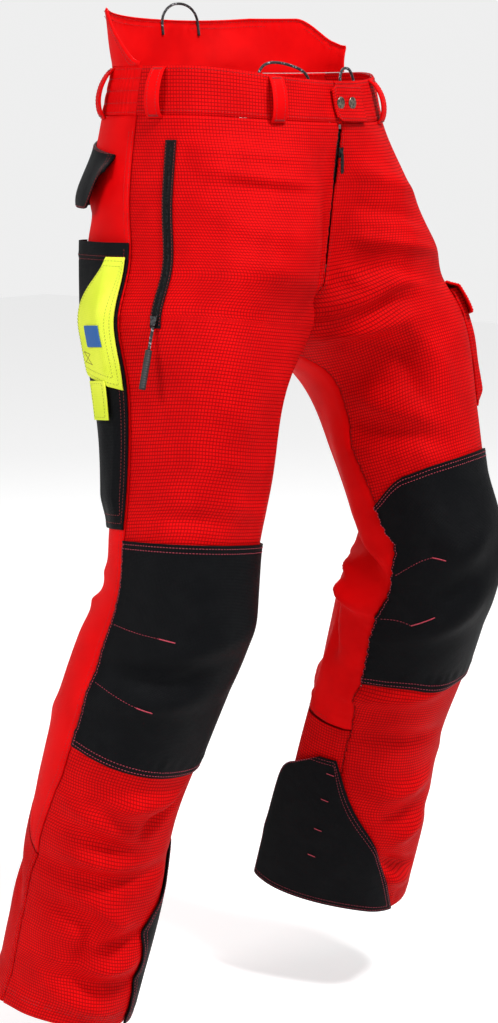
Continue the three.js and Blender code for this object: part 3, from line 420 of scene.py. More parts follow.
def on_body(side, level, degrees, out=0.0):
    """A point of the garment, out millimetres outside its outer surface."""
    level, degrees, out = np.broadcast_arrays(np.asarray(level, float), degrees, out)
    v = cloth_level(side, level)
    middle, wide, deep, back = np.moveaxis(ring_at(np.maximum(v, 0)), -1, 0)
    angle = np.radians(degrees)
    x = np.maximum(middle + (wide + out) * signed_power(np.cos(angle), 2 / ROUNDNESS), 0)
    y = back + (deep + out) * signed_power(np.sin(angle), 2 / ROUNDNESS)
    held = smooth((v - 40) / 30) * (1 - smooth((v - FLY_BOTTOM) / 45)) * (1 - smooth(x / 90))
    fly_y = mix(-124, -103, (v - FLY_TOP) / (FLY_BOTTOM - FLY_TOP))
    y = np.where(np.sin(angle) < 0, mix(y, fly_y - out, held), y)
    points = np.stack([x, y, -v], axis=-1)
    knee_bend = side["knee"] * smooth((v - KNEE_LEVEL) / 140 + 0.5)
    points = turned(points, (0, float(ring_at(KNEE_LEVEL)[3]), -KNEE_LEVEL), 0, knee_bend)
    bend = smooth((v - 150) / 170) * smooth(points[..., 0] / 70)
    points = turned(points, HIP_PIVOT, 1, -side["spread"] * bend)
    points = turned(points, HIP_PIVOT, 0, -side["hip"] * bend)
    points[..., 0] *= side["x"]
    return points


def front_degrees_at(side, level, x):
    """Degrees at which the front of a ring is x from the middle plane."""
    middle, wide = np.moveaxis(ring_at(cloth_level(side, np.asarray(level, float))), -1, 0)[:2]
    share = np.clip((x - middle) / wide, -1, 1)
    return -np.degrees(np.arccos(np.clip(signed_power(share, ROUNDNESS / 2), -1, 1)))


def degrees_for(side, level, degrees, width):
    """How many degrees a width in millimetres takes up round the leg."""
    one = on_body(side, level, degrees - 1)
    other = on_body(side, level, degrees + 1)
    return 2 * width / np.maximum(np.linalg.norm(one - other, axis=-1), 1e-6)


def stepped(stations):
    """A seam that runs straight between the long levels."""
    values = curve_through(stations)(LONG_LEVELS)[..., 0]
    return lambda level: np.interp(level, LONG_LEVELS, values)


side_seam = stepped([
    (0, 1), (130, 4), (down_thigh(0.2), 9), (KNEE_LEVEL, 12), (down_shin(0.18), 5), (down_shin(0.46), 4),
    (down_shin(0.63), 14), (SIDE_LENGTH, 15),
])
inner_seam = stepped([
    (CROTCH_DEPTH, -180), (down_thigh(0.3), -185), (down_thigh(0.6), -184), (down_thigh(0.88), -173),
    (down_shin(0.1), -169), (down_shin(0.53), -160), (SIDE_LENGTH, -158),
])


def inner_edge(side, level, gap=0.0):
    above = cloth_level(side, level) < CROTCH_DEPTH
    return np.where(above, front_degrees_at(side, level, gap), inner_seam(level))


def hem_level(side, degrees):
    return SIDE_LENGTH + side["hem_drop"] * np.maximum(np.cos(np.radians(degrees - 40)), 0) ** 2


def front_dip(degrees):
    return smooth((-degrees - 15) / 75)


def band_top(degrees):
    return 14 * front_dip(degrees)


def band_bottom(degrees):
    return WAISTBAND_HEIGHT + 7 * front_dip(degrees)


# Folds pressed into the cloth where it is worn: from (level, degrees) to (level, degrees), then how high
# and how wide in millimetres. A negative height is a valley.
FOLD_STRENGTH = 2.6
FOLDS = {
    "right": [
        (78, -22, 92, -66, 2.4, 11), (100, -28, 128, -76, 2.8, 12), (120, -44, 130, -78, -2.6, 8),
        (150, -34, 176, -76, 2.0, 14), (205, -60, 235, -120, 1.8, 14), (470, -12, 474, -66, -1.6, 9),
        (415, -60, 422, -96, 1.4, 12), (455, -70, 470, -110, 1.6, 11), (632, -12, 590, -88, -3.4, 13),
        (612, -30, 570, -110, 3.0, 15), (668, -5, 626, -92, 2.4, 14), (772, -48, 758, -98, 4.2, 12),
        (800, -80, 762, -102, -3.6, 8), (790, -8, 803, -72, 2.2, 11), (812, -20, 822, -80, -2.2, 9),
        (866, 0, 846, -108, -3.8, 12), (842, -20, 838, -80, 2.6, 12), (905, -10, 908, -50, -3.2, 12),
        (908, -50, 964, -38, -3.4, 11), (885, -48, 905, -80, 3.4, 11), (935, -54, 918, -96, -3.8, 10),
        (958, -60, 950, -96, 3.0, 10), (978, -28, 976, -100, -3.4, 10), (1000, -30, 1008, -90, 1.8, 9),
        (930, 30, 870, 70, -3.0, 13), (560, 70, 600, 120, -3.6, 12), (585, 60, 620, 130, 3.2, 12),
        (540, 60, 570, 140, 3.0, 12), (620, 80, 640, 150, -2.8, 12), (300, 60, 330, 130, -3.0, 14),
        (270, 80, 300, 140, 3.0, 14), (340, 70, 370, 140, 2.4, 14), (720, 60, 760, 110, 2.6, 14),
        (820, 60, 850, 120, -2.8, 14), (760, 120, 800, 170, 2.6, 14), (900, 80, 940, 150, 2.8, 13),
        (965, 70, 985, 140, -2.8, 12), (150, 40, 190, 85, -2.0, 14), (200, 60, 250, 90, 2.2, 14),
    ],
    "left": [
        (284, -152, 302, -112, -2.4, 11), (262, -150, 272, -108, 1.6, 12), (310, -158, 330, -120, 3.4, 12),
        (320, -150, 418, -138, -2.4, 14), (330, -130, 420, -108, 2.2, 15), (432, -176, 480, -112, -2.6, 14),
        (400, -170, 450, -130, 2.4, 14), (565, -168, 590, -128, -2.0, 12), (618, -150, 600, -100, -3.0, 13),
        (590, -140, 570, -95, 3.0, 14), (664, -150, 622, -98, 2.4, 14), (752, -156, 732, -104, 3.0, 12),
        (800, -146, 802, -90, -3.0, 12), (876, -132, 862, -86, 3.2, 12), (958, -122, 978, -82, -4.2, 9),
        (932, -112, 916, -84, 3.2, 11), (905, -128, 892, -90, -2.6, 11), (985, -110, 995, -84, 2.6, 9),
        (105, -96, 130, -60, 2.2, 12), (175, -120, 215, -78, 2.2, 14), (220, -140, 285, -96, 2.4, 14),
        (140, -105, 165, -70, -1.8, 12), (560, 130, 600, 178, -3.6, 11), (580, 110, 610, 160, 3.4, 12),
        (628, 150, 640, 188, 2.6, 12), (660, 140, 720, 170, -2.4, 13), (300, 60, 330, 130, -3.0, 14),
        (270, 80, 300, 140, 3.0, 14), (560, 60, 600, 110, 3.4, 12), (590, 60, 640, 120, -3.6, 12),
        (540, 60, 570, 120, 2.4, 12), (760, 60, 800, 130, 2.6, 14), (840, 60, 880, 130, -2.8, 14),
        (930, 60, 960, 140, 2.6, 13), (700, -40, 730, 20, 2.2, 14), (840, -50, 880, 10, 2.4, 14),
        (910, -60, 940, 0, -2.8, 12), (150, 40, 190, 85, -2.0, 14), (200, 60, 250, 90, 2.2, 14),
        (620, -60, 650, -10, -2.6, 13), (590, -70, 600, -20, 2.4, 13),
    ],
}


def kept_flat(side, level, degrees):
    """0 where something must lie flat on the cloth: at the waistband, the fly, the hip zip and the middle
    seam.
    """
    below_band = smooth((level - 62) / 30)
    x = np.abs(on_body(side, level, degrees)[..., 0])
    fly = np.where((level < 260) & (np.sin(np.radians(degrees)) < 0), smooth((x - 16) / 26), 1)
    zip_away = np.abs(degrees + 12.5) + np.maximum(level - 290, 0) * 0.4
    beside_zip = smooth((zip_away - 6) / 9)
    near_crotch = np.exp(-(((level - 285) / 40) ** 2))
    crotch = smooth((x - 2) / 20) * (1 - near_crotch * (1 - smooth((x - 14) / 42)))
    return below_band * fly * beside_zip * crotch


def fold_height(side, level, degrees):
    """How far the worn-in folds lift the cloth, in millimetres."""
    middle, wide, deep, back = np.moveaxis(ring_at(np.maximum(cloth_level(side, level), 0)), -1, 0)
    per_degree = (wide + deep) / 2 * math.pi / 180
    lift = np.zeros_like(per_degree)
    for level_a, degrees_a, level_b, degrees_b, height, width in FOLDS[side["name"]]:
        span = np.stack([level_b - level_a + 0 * per_degree, (degrees_b - degrees_a) * per_degree], -1)
        away_degrees = (degrees - degrees_a + 180) % 360 - 180
        away = np.stack([level - level_a, away_degrees * per_degree], -1)
        share = np.clip((away * span).sum(-1) / np.maximum((span ** 2).sum(-1), 1e-6), -0.4, 1.4)
        distance = np.linalg.norm(away - span * share[..., None], axis=-1)
        taper = smooth((share + 0.4) / 0.8) * smooth((1.4 - share) / 0.8)
        lift += height * taper * np.exp(-(distance / width) ** 2)
    return FOLD_STRENGTH * lift * kept_flat(side, level, degrees)


# The small creases: a tube of the same cloth, cut a little too large, held at its waist and seams and left
# to buckle. What it moves by is kept as a map over level and degrees, and every layer moves by that map.
DRAPE_ROW = 6.0
DRAPE_COLUMN = 3.75
DRAPE_LEVELS = np.arange(58, 1053, DRAPE_ROW)
DRAPE_DEGREES = np.arange(-180, 180, DRAPE_COLUMN)
DRAPE_LIMIT = 4.5
DRAPE_FRAMES = 16
drape = {}


def drape_map(side):
    """Millimetres that the creases move each cell of one leg by, from a short cloth run."""
    level, degrees = np.meshgrid(DRAPE_LEVELS, DRAPE_DEGREES, indexing="ij")
    rest = metres(on_body(side, level, degrees, fold_height(side, level, degrees)))
    rows, columns = level.shape
    shape = bmesh.new()
    bmesh.ops.create_grid(shape, x_segments=columns, y_segments=rows - 1, size=1)
    shape.verts.ensure_lookup_table()
    place = np.array([v.co for v in shape.verts])
    across = np.rint((place[:, 0] + 1) / 2 * columns).astype(int)
    column = across % columns
    row = np.rint((1 - place[:, 1]) / 2 * (rows - 1)).astype(int)
    for vert, spot in zip(shape.verts, rest[row, column]):
        vert.co = spot
    first = {row[i]: vert for i, vert in enumerate(shape.verts) if across[i] == 0}
    joined = {vert: first[row[i]] for i, vert in enumerate(shape.verts) if across[i] == columns}
    cells = [(row[i], column[i]) for i in range(len(row)) if across[i] < columns]
    bmesh.ops.weld_verts(shape, targetmap=joined)
    tube = bpy.data.objects.new("drape_" + side["name"], bpy.data.meshes.new("drape_" + side["name"]))
    shape.to_mesh(tube.data)
    shape.free()
    bpy.context.scene.collection.objects.link(tube)
    before = np.array([v.co for v in tube.data.vertices])
    flat = kept_flat(side, level, degrees)
    hold = np.clip(1.0 - 0.93 * flat, 0.07, 1.0)
    held = tube.vertex_groups.new(name="held")
    for index, cell in enumerate(cells):
        held.add([index], float(hold[cell]), "REPLACE")
    cloth = tube.modifiers.new("cloth", "CLOTH").settings
    cloth.vertex_group_mass = "held"
    cloth.pin_stiffness = 0.5
    cloth.shrink_min = -0.035
    cloth.tension_stiffness = 12
    cloth.compression_stiffness = 12
    cloth.shear_stiffness = 4
    cloth.bending_stiffness = 0.6
    cloth.mass = 0.4
    cloth.quality = 4
    cloth.effector_weights.gravity = 0.15
    for step in range(1, DRAPE_FRAMES + 1):
        bpy.context.scene.frame_set(step)
    view = bpy.context.evaluated_depsgraph_get()
    after = np.array([v.co for v in tube.evaluated_get(view).data.vertices])
    moved = (after - before) * 1000
    length = np.linalg.norm(moved, axis=1)[:, None]
    moved *= np.tanh(length / DRAPE_LIMIT) * DRAPE_LIMIT / np.maximum(length, 1e-9)
    shifts = np.zeros(level.shape + (3,))
    for index, cell in enumerate(cells):
        shifts[cell] = moved[index]
    bpy.data.objects.remove(tube)
    bpy.context.scene.frame_set(1)
    return shifts * flat[..., None]


for side in (RIGHT, LEFT):
    drape[side["name"]] = drape_map(side)


def drape_shift(side, level, degrees):
    shifts = drape.get(side["name"])
    if shifts is None:
        return 0.0
    row = np.clip((level - DRAPE_LEVELS[0]) / DRAPE_ROW, 0, len(DRAPE_LEVELS) - 1.001)
    column = ((degrees - DRAPE_DEGREES[0]) / DRAPE_COLUMN) % len(DRAPE_DEGREES)
    i = np.floor(row).astype(int)
    k = np.floor(column).astype(int) % len(DRAPE_DEGREES)
    p = (row - i)[..., None]
    q = (column - np.floor(column))[..., None]
    k2 = (k + 1) % len(DRAPE_DEGREES)
    shift = mix(mix(shifts[i, k], shifts[i, k2], q), mix(shifts[i + 1, k], shifts[i + 1, k2], q), p)
    return np.where((level < DRAPE_LEVELS[0])[..., None], 0, shift)


def on_cloth(side, level, degrees, out=0.0):
    """A point on the worn garment, with its folds and creases."""
    level, degrees, out = np.broadcast_arrays(np.asarray(level, float), np.asarray(degrees, float), out)
    worn = on_body(side, level, degrees, out + fold_height(side, level, degrees))
    return worn + drape_shift(side, level, degrees)


def edge_shares(count, length, near=1.0):
    """Shares from 0 to 1 in even steps, with two close ones at each end so that an edge can roll."""
    near = near / length
    next_near = 3.0 / length
    inside = np.linspace(next_near, 1 - next_near, count - 3)
    return np.concatenate([[0, near], inside, [1 - near, 1]])


GARMENT_CORE = metres((0, 0, -100))


def cloth_piece(name, across, down, place, thickness, material, body="garment", stands_for=(),
                outward=None):
    """A piece of cloth: across and down are its shares, and place(u, v) its outer face in millimetres."""
    shape = bmesh.new()
    uv = shape.loops.layers.uv.new("cloth")
    columns = len(across) - 1
    rows = len(down) - 1
    bmesh.ops.create_grid(shape, x_segments=columns, y_segments=rows, size=1)
    flat = np.array([v.co for v in shape.verts])
    column = np.rint((flat[:, 0] + 1) / 2 * columns).astype(int)
    row = np.rint((1 - flat[:, 1]) / 2 * rows).astype(int)
    u, v = np.meshgrid(across, down)
    points = metres(place(u, v))
    for vert, spot in zip(shape.verts, points[row, column]):
        vert.co = spot
    steps = np.linalg.norm(np.diff(points, axis=1), axis=2)
    width = np.concatenate([np.zeros((rows + 1, 1)), np.cumsum(steps, axis=1)], axis=1)
    width -= width[:, columns // 2][:, None]
    middle = points[:, columns // 2]
    length = np.concatenate([[0], np.cumsum(np.linalg.norm(np.diff(middle, axis=0), axis=1))])
    shape.verts.index_update()
    for face in shape.faces:
        for loop in face.loops:
            i = loop.vert.index
            loop[uv].uv = (width[row[i], column[i]], length[row[i]])
    shape.normal_update()
    facing = sum((f.normal * f.calc_area() for f in shape.faces), Vector())
    if outward is None:
        outward = metres(place(np.full((1, 1), 0.5), np.full((1, 1), 0.5)))[0, 0] - GARMENT_CORE
    if facing.dot(Vector(outward)) < 0:
        bmesh.ops.reverse_faces(shape, faces=shape.faces)
    piece = link_mesh(name, shape, material)
    wall = piece.modifiers.new("wall", "SOLIDIFY")
    wall.thickness = thickness / 1000
    wall.offset = -1
    wall.use_even_offset = False
    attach(piece, body)
    if stands_for:
        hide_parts(*stands_for)
    return piece

# ---- Front panels ----
# Woven red ripstop, one panel for the front of each leg from the waistband to the hem. The long edges are
# turned in and sewn down beside the seams.
SHELL_THICKNESS = 2
SEAM_GAP = 0.4
FLY_CLOSED_FROM = 112


def red_grid_finish():
    """Red ripstop: a fine weave crossed by darker doubled threads, with a slightly uneven dye."""
    finish, tree, shader = new_finish("red_grid_cloth", (0.66, 0.002, 0.003), 0.55, shine=0.035)
    across, along = cloth_axes(tree)
    line_across = step_between(tree, thread_wave(tree, across, 0.0033), 0.05, 0.17, 1, 0)
    line_along = step_between(tree, thread_wave(tree, along, 0.0036), 0.07, 0.2, 1, 0)
    lines = arithmetic(tree, "MAXIMUM", line_across, line_along)
    weave = arithmetic(tree, "ADD", thread_wave(tree, across, 0.00055), thread_wave(tree, along, 0.00055))
    dye = step_between(tree, object_noise(tree, 26, 4), 0.3, 0.7)
    ground = mixed(tree, dye, (0.66, 0.001, 0.002), (0.80, 0.002, 0.003))
    worn = mixed(tree, arithmetic(tree, "MULTIPLY", weave, 0.2), ground, (0.9, 0.012, 0.012))
    tree.links.new(mixed(tree, arithmetic(tree, "MULTIPLY", lines, 0.72), worn, (0.20, 0.0008, 0.0012)),
                   shader.inputs["Base Color"])
    ribs = arithmetic(tree, "MULTIPLY_ADD", lines, -0.5, arithmetic(tree, "MULTIPLY", weave, 0.5))
    slack = arithmetic(tree, "MULTIPLY_ADD", object_noise(tree, 60, 3), 3.0, ribs)
    raise_surface(tree, shader, slack, 0.55, 0.0005)
    return finish


red_grid = red_grid_finish()


def even(count):
    return np.linspace(0, 1, count + 1)


def rolled(distance, depth=1.1, width=1.4):
    """How far a turned-in cloth edge rolls back, distance millimetres in from it."""
    return -depth * np.exp(-((distance / width) ** 2))


def puckers(distance, along, reach=7.0, pitch=9.0, height=0.35):
    """The small gathers that a seam pulls in beside its stitching."""
    wave = np.sin(along * math.tau / pitch) + 0.6 * np.sin(along * math.tau / (pitch * 1.618) + 1.3)
    return height * wave * np.exp(-((distance / reach) ** 2))


def side_edge(side, level, away):
    return side_seam(level) + away * degrees_for(side, level, side_seam(level), SEAM_GAP)


def shell_top(degrees):
    return band_bottom(degrees) + SEAM_GAP


def front_inner_edge(side, level):
    gap = mix(2.5, 0.4, smooth((level - FLY_CLOSED_FROM) / 15))
    inside = inner_edge(side, level, gap)
    return inside + degrees_for(side, level, inside, SEAM_GAP)


def back_inner_edge(side, level):
    inside = inner_edge(side, level, 0.0)
    above = cloth_level(side, level) < CROTCH_DEPTH
    turn = degrees_for(side, level, inside, SEAM_GAP)
    return np.where(above, -front_degrees_at(side, level, 2.5), 360 + inside - turn)


def leg_cloth(side, left, right, top, bottom, out, seams=True):
    """place(u, v) for a long panel, with its edges rolled in and puckered."""
    def place(u, v):
        level = mix(60.0, 1020.0, v)
        for _ in range(4):
            degrees = mix(left(level), right(level), u)
            level = mix(top(degrees), bottom(degrees), v)
        middle = np.moveaxis(ring_at(np.maximum(cloth_level(side, level), 0)), -1, 0)
        per_degree = (middle[1] + middle[2]) / 2 * math.pi / 180
        across = np.abs(right(level) - left(level)) * per_degree
        from_left = u * across
        from_right = (1 - u) * across
        from_end = (1 - v) * np.abs(bottom(degrees) - top(degrees))
        lift = out
        if seams:
            for distance in (from_left, from_right):
                lift = lift + rolled(distance) + 0.45 * np.exp(-(((distance - 3) / 2) ** 2))
                lift = lift + puckers(distance, level)
            gathers = puckers(np.abs(from_end - 16), degrees * per_degree, 6, 13, 0.5)
            lift = lift + rolled(from_end, 0.9) + gathers
        return on_cloth(side, level, degrees, lift)
    return place


for side in (RIGHT, LEFT):
    panel = "front_panel_" + side["name"]
    place = leg_cloth(
        side,
        lambda level, side=side: side_edge(side, level, -1),
        lambda level, side=side: front_inner_edge(side, level),
        shell_top,
        lambda degrees, side=side: hem_level(side, degrees),
        0.0,
    )
    cloth_piece(panel + "_cloth", edge_shares(68, 240), even(300), place, SHELL_THICKNESS, red_grid,
                stands_for=[panel], outward=(side["x"] * 0.3, -1, 0))

# ---- Back panels and lower calf panels ----
# Smooth stretch cloth from the waist to below the calf, then ripstop down to the hem, sewn to the front
# panels with a lapped seam and two rows of red stitches.
CALF_LAP_HIGH = 800
CALF_LAP_LOW = 868
STITCH_PITCH = 3.4
STITCH_LENGTH = 2.5
STITCH_WIDTH = 0.62


def red_stretch_finish():
    """Smooth red four-way stretch cloth: a fine slanting twill with a soft sheen."""
    finish, tree, shader = new_finish("red_stretch_cloth", (0.78, 0.002, 0.003), 0.5, shine=0.04)
    across, along = cloth_axes(tree)
    slant = thread_wave(tree, arithmetic(tree, "MULTIPLY_ADD", along, 1.6, across), 0.0009)
    cross = thread_wave(tree, along, 0.0007)
    twill = arithmetic(tree, "MULTIPLY_ADD", cross, 0.5, slant)
    dye = step_between(tree, object_noise(tree, 22, 4), 0.3, 0.7)
    ground = mixed(tree, dye, (0.76, 0.001, 0.002), (0.90, 0.002, 0.003))
    tree.links.new(mixed(tree, arithmetic(tree, "MULTIPLY", twill, 0.35), ground, (0.55, 0.001, 0.002)),
                   shader.inputs["Base Color"])
    slack = arithmetic(tree, "MULTIPLY_ADD", object_noise(tree, 70, 3), 2.5, twill)
    raise_surface(tree, shader, slack, 0.5, 0.0004)
    return finish


red_stretch = red_stretch_finish()


def thread_finish(name, colour):
    """Bonded sewing thread: two plies twisted together, a little shiny."""
    finish, tree, shader = new_finish(name, colour, 0.45, 0.1)
    twist = thread_wave(tree, object_noise(tree, 900, 1), 0.25)
    dark = tuple(part * 0.55 for part in colour)
    tree.links.new(mixed(tree, twist, dark, colour), shader.inputs["Base Color"])
    raise_surface(tree, shader, twist, 0.4, 0.0002)
    return finish


red_thread = thread_finish("red_thread", (0.46, 0.004, 0.008))


def sew(name, runs, thread, body="garment", pitch=STITCH_PITCH, width=STITCH_WIDTH):
    """Rows of stitches. Each run is a function of (share, out) giving a line on the cloth in millimetres."""
    shape = bmesh.new()
    share = np.linspace(0, 1, 160)
    for run in runs:
        line = run(share, 0.0)
        up = run(share, 1.0) - line
        reach = np.concatenate([[0], np.cumsum(np.linalg.norm(np.diff(line, axis=0), axis=1))])
        count = max(int(reach[-1] / pitch), 1)
        for distance in (np.arange(count) + 0.5) * reach[-1] / count:
            spot = np.array([np.interp(distance, reach, line[:, i]) for i in range(3)])
            beside = np.clip([distance - 0.6, distance + 0.6], 0, reach[-1])
            ends = np.array([np.interp(beside, reach, line[:, i]) for i in range(3)]).T
            ahead = Vector(ends[1] - ends[0]).normalized()
            out = Vector([np.interp(distance, reach, up[:, i]) for i in range(3)])
            out = (out - ahead * out.dot(ahead)).normalized()
            turn = Matrix((ahead, out.cross(ahead), out)).transposed().to_4x4()
            size = Matrix.Diagonal((STITCH_LENGTH / 2000, width / 2000, width / 2600, 1))
            middle = Matrix.Translation(Vector(spot) / 1000 + out * width / 6000)
            bmesh.ops.create_icosphere(shape, subdivisions=1, radius=1, matrix=middle @ turn @ size)
    stitches = link_mesh(name, shape, thread)
    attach(stitches, body)


def seam_run(side, edge, top, bottom, away, out=0.0):
    """A stitch run down the leg, away millimetres from an edge given in degrees at a level."""
    def run(share, lift):
        level = mix(top, bottom, share)
        degrees = edge(level)
        return on_cloth(side, level, degrees + away * degrees_for(side, level, degrees, 1), out + lift)
    return run


def level_run(side, level_at, start, end, out=0.0):
    """A stitch run round the leg from one degree to another."""
    def run(share, lift):
        degrees = mix(start, end, share)
        return on_cloth(side, level_at(degrees), degrees, out + lift)
    return run


def calf_top(degrees):
    return mix(CALF_LAP_LOW, CALF_LAP_HIGH, smooth((degrees - 10) / 70))


for side in (RIGHT, LEFT):
    for panel, top, bottom, cloth, slot, rows in (
        ("back_panel_", shell_top, lambda degrees: calf_top(degrees) - SEAM_GAP, red_stretch,
         "red_stretch_cloth", 230),
        ("calf_back_panel_", lambda degrees: calf_top(degrees) + SEAM_GAP,
         lambda degrees, side=side: hem_level(side, degrees), red_grid, "red_grid_cloth", 70),
    ):
        place = leg_cloth(
            side,
            lambda level, side=side: side_edge(side, level, 1),
            lambda level, side=side: back_inner_edge(side, level),
            top,
            bottom,
            0.0,
        )
        name = panel + side["name"]
        cloth_piece(name + "_cloth", edge_shares(62, 240), even(rows), place, SHELL_THICKNESS, cloth,
                    stands_for=[name], outward=(side["x"] * 0.3, 1, 0))
    sew(
        "leg_stitches_" + side["name"],
        [
            seam_run(side, side_seam, 66, hem_level(side, 8) - 3, 2.6),
            seam_run(side, side_seam, 66, hem_level(side, 8) - 3, 8.4),
            seam_run(side, inner_seam, 300, 1018, 2.6),
            level_run(side, lambda d: calf_top(d) - 3, side_seam(850.0) + 2, 186),
            level_run(side, lambda d: calf_top(d) - 8, side_seam(850.0) + 2, 186),
            level_run(side, lambda d, side=side: hem_level(side, d) - 15, -158, 196),
            level_run(side, lambda d, side=side: hem_level(side, d) - 19, -158, 196),
            lambda share, lift, side=side: on_cloth(
                side, mix(66, 250, share), front_degrees_at(side, mix(66, 250, share), 5.0), lift),
            lambda share, lift, side=side: on_cloth(
                side, mix(66, 250, share), -front_degrees_at(side, mix(66, 250, share), 5.0), lift),
        ],
        red_thread,
    )

# ---- Cut-protection inlay and its lining ----
# Layers of loose chain-stopping fibre quilted together behind the front panel, and a grey mesh lining
# that faces the wearer's leg.
PAD_OUTER = -2.8
PAD_THICKNESS = 6
LINING_OUTER = -14.8
LINING_THICKNESS = 1.5
PAD_EASE = 0.8
INLAY_BELOW_BAND = 8
INLAY_BOTTOM = 980.0


def wadding_finish():
    finish, tree, shader = new_finish("cut_protection_wadding", (0.72, 0.70, 0.62), 0.9, 0.3)
    fibres = object_noise(tree, 500, 6)
    tree.links.new(mixed(tree, fibres, (0.5, 0.48, 0.4), (0.8, 0.78, 0.7)), shader.inputs["Base Color"])
    raise_surface(tree, shader, fibres, 0.6, 0.0008)
    return finish


def lining_finish():
    """Warp-knitted mesh: rows of small holes."""
    finish, tree, shader = new_finish("grey_lining", (0.2, 0.21, 0.22), 0.8, 0.2)
    across, along = cloth_axes(tree)
    eyes = arithmetic(tree, "MULTIPLY", thread_wave(tree, across, 0.003), thread_wave(tree, along, 0.0034))
    holes = step_between(tree, eyes, 0.12, 0.18)
    tree.links.new(mixed(tree, holes, (0.24, 0.25, 0.26), (0.05, 0.05, 0.055)), shader.inputs["Base Color"])
    raise_surface(tree, shader, arithmetic(tree, "MULTIPLY", holes, -1.0), 0.6, 0.0006)
    return finish


wadding = wadding_finish()
grey_lining = lining_finish()
for side in (RIGHT, LEFT):
    for node, first, last, outer, thick, cloth, slot in (
        ("cut_protection_inlay_", 0.05, 0.94, PAD_OUTER - PAD_EASE, PAD_THICKNESS - PAD_EASE, wadding,
         "cut_protection_wadding"),
        ("inlay_lining_", 0.05, 0.99, LINING_OUTER, LINING_THICKNESS, grey_lining, "grey_lining"),
    ):
        def left(level, side=side, first=first):
            return mix(side_edge(side, level, -1), front_inner_edge(side, level), first)

        def right(level, side=side, last=last):
            return mix(side_edge(side, level, -1), front_inner_edge(side, level), last)

        place = leg_cloth(side, left, right, lambda degrees: shell_top(degrees) + INLAY_BELOW_BAND,
                          lambda degrees: INLAY_BOTTOM + 0 * degrees, outer, seams=False)
        piece = cloth_piece(
            node + side["name"] + "_layer", edge_shares(40, 220), even(150), place, thick, cloth,
            stands_for=[node + side["name"]], outward=(side["x"] * 0.3, -1, 0),
        )

# ---- Waistband ----
# Ripstop front bands and a stretch back band gathered on four rows of elastic. Each has an edge stitch
# along its top and bottom.
BAND_PROUD = 0.5
BAND_THICKNESS = 3.5
GATHER_PITCH = 6.5
GATHER_HEIGHT = 0.75

for side in (RIGHT, LEFT):
    first = side_edge(side, np.array(0.0), -1)
    last = front_degrees_at(side, np.array(0.0), SEAM_GAP)

    def place(u, v, side=side, first=first, last=last):
        degrees = mix(first, last, u)
        level = mix(band_top(degrees), band_bottom(degrees), v)
        crown = 0.35 * np.sin(math.pi * v) ** 0.5
        crown = crown + puckers(np.abs(v - 0.5) * 50 - 19, degrees * 2.4, 5, 9, 0.22)
        edge = rolled(v * 45, 0.8) + rolled((1 - v) * 45, 0.8)
        return on_body(side, level, degrees, BAND_PROUD + crown + edge)

    name = "waistband_front_" + side["name"]
    cloth_piece(name + "_cloth", edge_shares(90, 200), edge_shares(20, 45), place, BAND_THICKNESS, red_grid,
                stands_for=[name], outward=(side["x"] * 0.3, -1, 0))
    sew(
        name + "_stitches",
        [
            lambda share, lift, side=side, first=first, last=last, down=down: on_body(
                side,
                mix(band_top(mix(first, last, share)), band_bottom(mix(first, last, share)), down),
                mix(first, last, share), BAND_PROUD + 0.25 + lift)
            for down in (0.07, 0.91)
        ],
        red_thread,
    )


def across_back(turn, level, out):
    """A point round the back, turn degrees from its middle to the right (below 0) or the left."""
    right = on_body(RIGHT, level, 90 - np.abs(turn), out)
    left = on_body(LEFT, level, 90 - np.abs(turn), out)
    return np.where((turn < 0)[..., None], right, left)


BACK_REACH = float(90 - side_edge(LEFT, np.array(0.0), 1))


def back_band(u, v):
    turn = mix(-BACK_REACH, BACK_REACH, u)
    gathers = np.cos(turn * 2.55 * math.tau / GATHER_PITCH + 0.6 * np.sin(v * 9))
    held = np.abs(np.sin(v * math.pi * 4)) ** 0.6
    lift = GATHER_HEIGHT * gathers * held * smooth(u / 0.05) * smooth((1 - u) / 0.05)
    edge = rolled(v * 50, 0.8) + rolled((1 - v) * 50, 0.8)
    return across_back(turn, mix(0, WAISTBAND_HEIGHT, v), BAND_PROUD - 0.3 + lift + edge)


cloth_piece("waistband_back_cloth", even(520), edge_shares(28, 50), back_band, BAND_THICKNESS, red_stretch,
            stands_for=["waistband_back"], outward=(0, 1, 0))
sew(
    "waistband_back_stitches",
    [
        lambda share, lift, v=v: across_back(
            mix(-BACK_REACH, BACK_REACH, share),
            mix(0, WAISTBAND_HEIGHT, v) + 0 * share,
            BAND_PROUD - 0.2 + lift,
        )
        for v in (0.06, 0.25, 0.5, 0.75, 0.94)
    ],
    red_thread,
)

# ---- Kidney panel ----
# Two layers of stretch cloth stitched together round the edge, standing up behind the waist and flaring
# out a little towards its top.
KIDNEY_THICKNESS = 2
KIDNEY_RIGHT_END = -86.0
KIDNEY_LEFT_END = 97.0
KIDNEY_RISE = 62
KIDNEY_FLARE = 7


def kidney_height(turn):
    right = smooth((turn - KIDNEY_RIGHT_END) / 34)
    left = smooth((KIDNEY_LEFT_END - turn) / 28)
    rise = np.where(turn < 0, mix(5, KIDNEY_RISE, right), mix(30, KIDNEY_RISE, left))
    return rise - 5 * np.maximum(np.cos(np.radians(2 * turn)), 0)


def kidney_spot(turn, height, out):
    spot = across_back(turn, 0 * height, out + KIDNEY_FLARE * smooth(height / KIDNEY_RISE))
    spot[..., 2] = height
    return spot


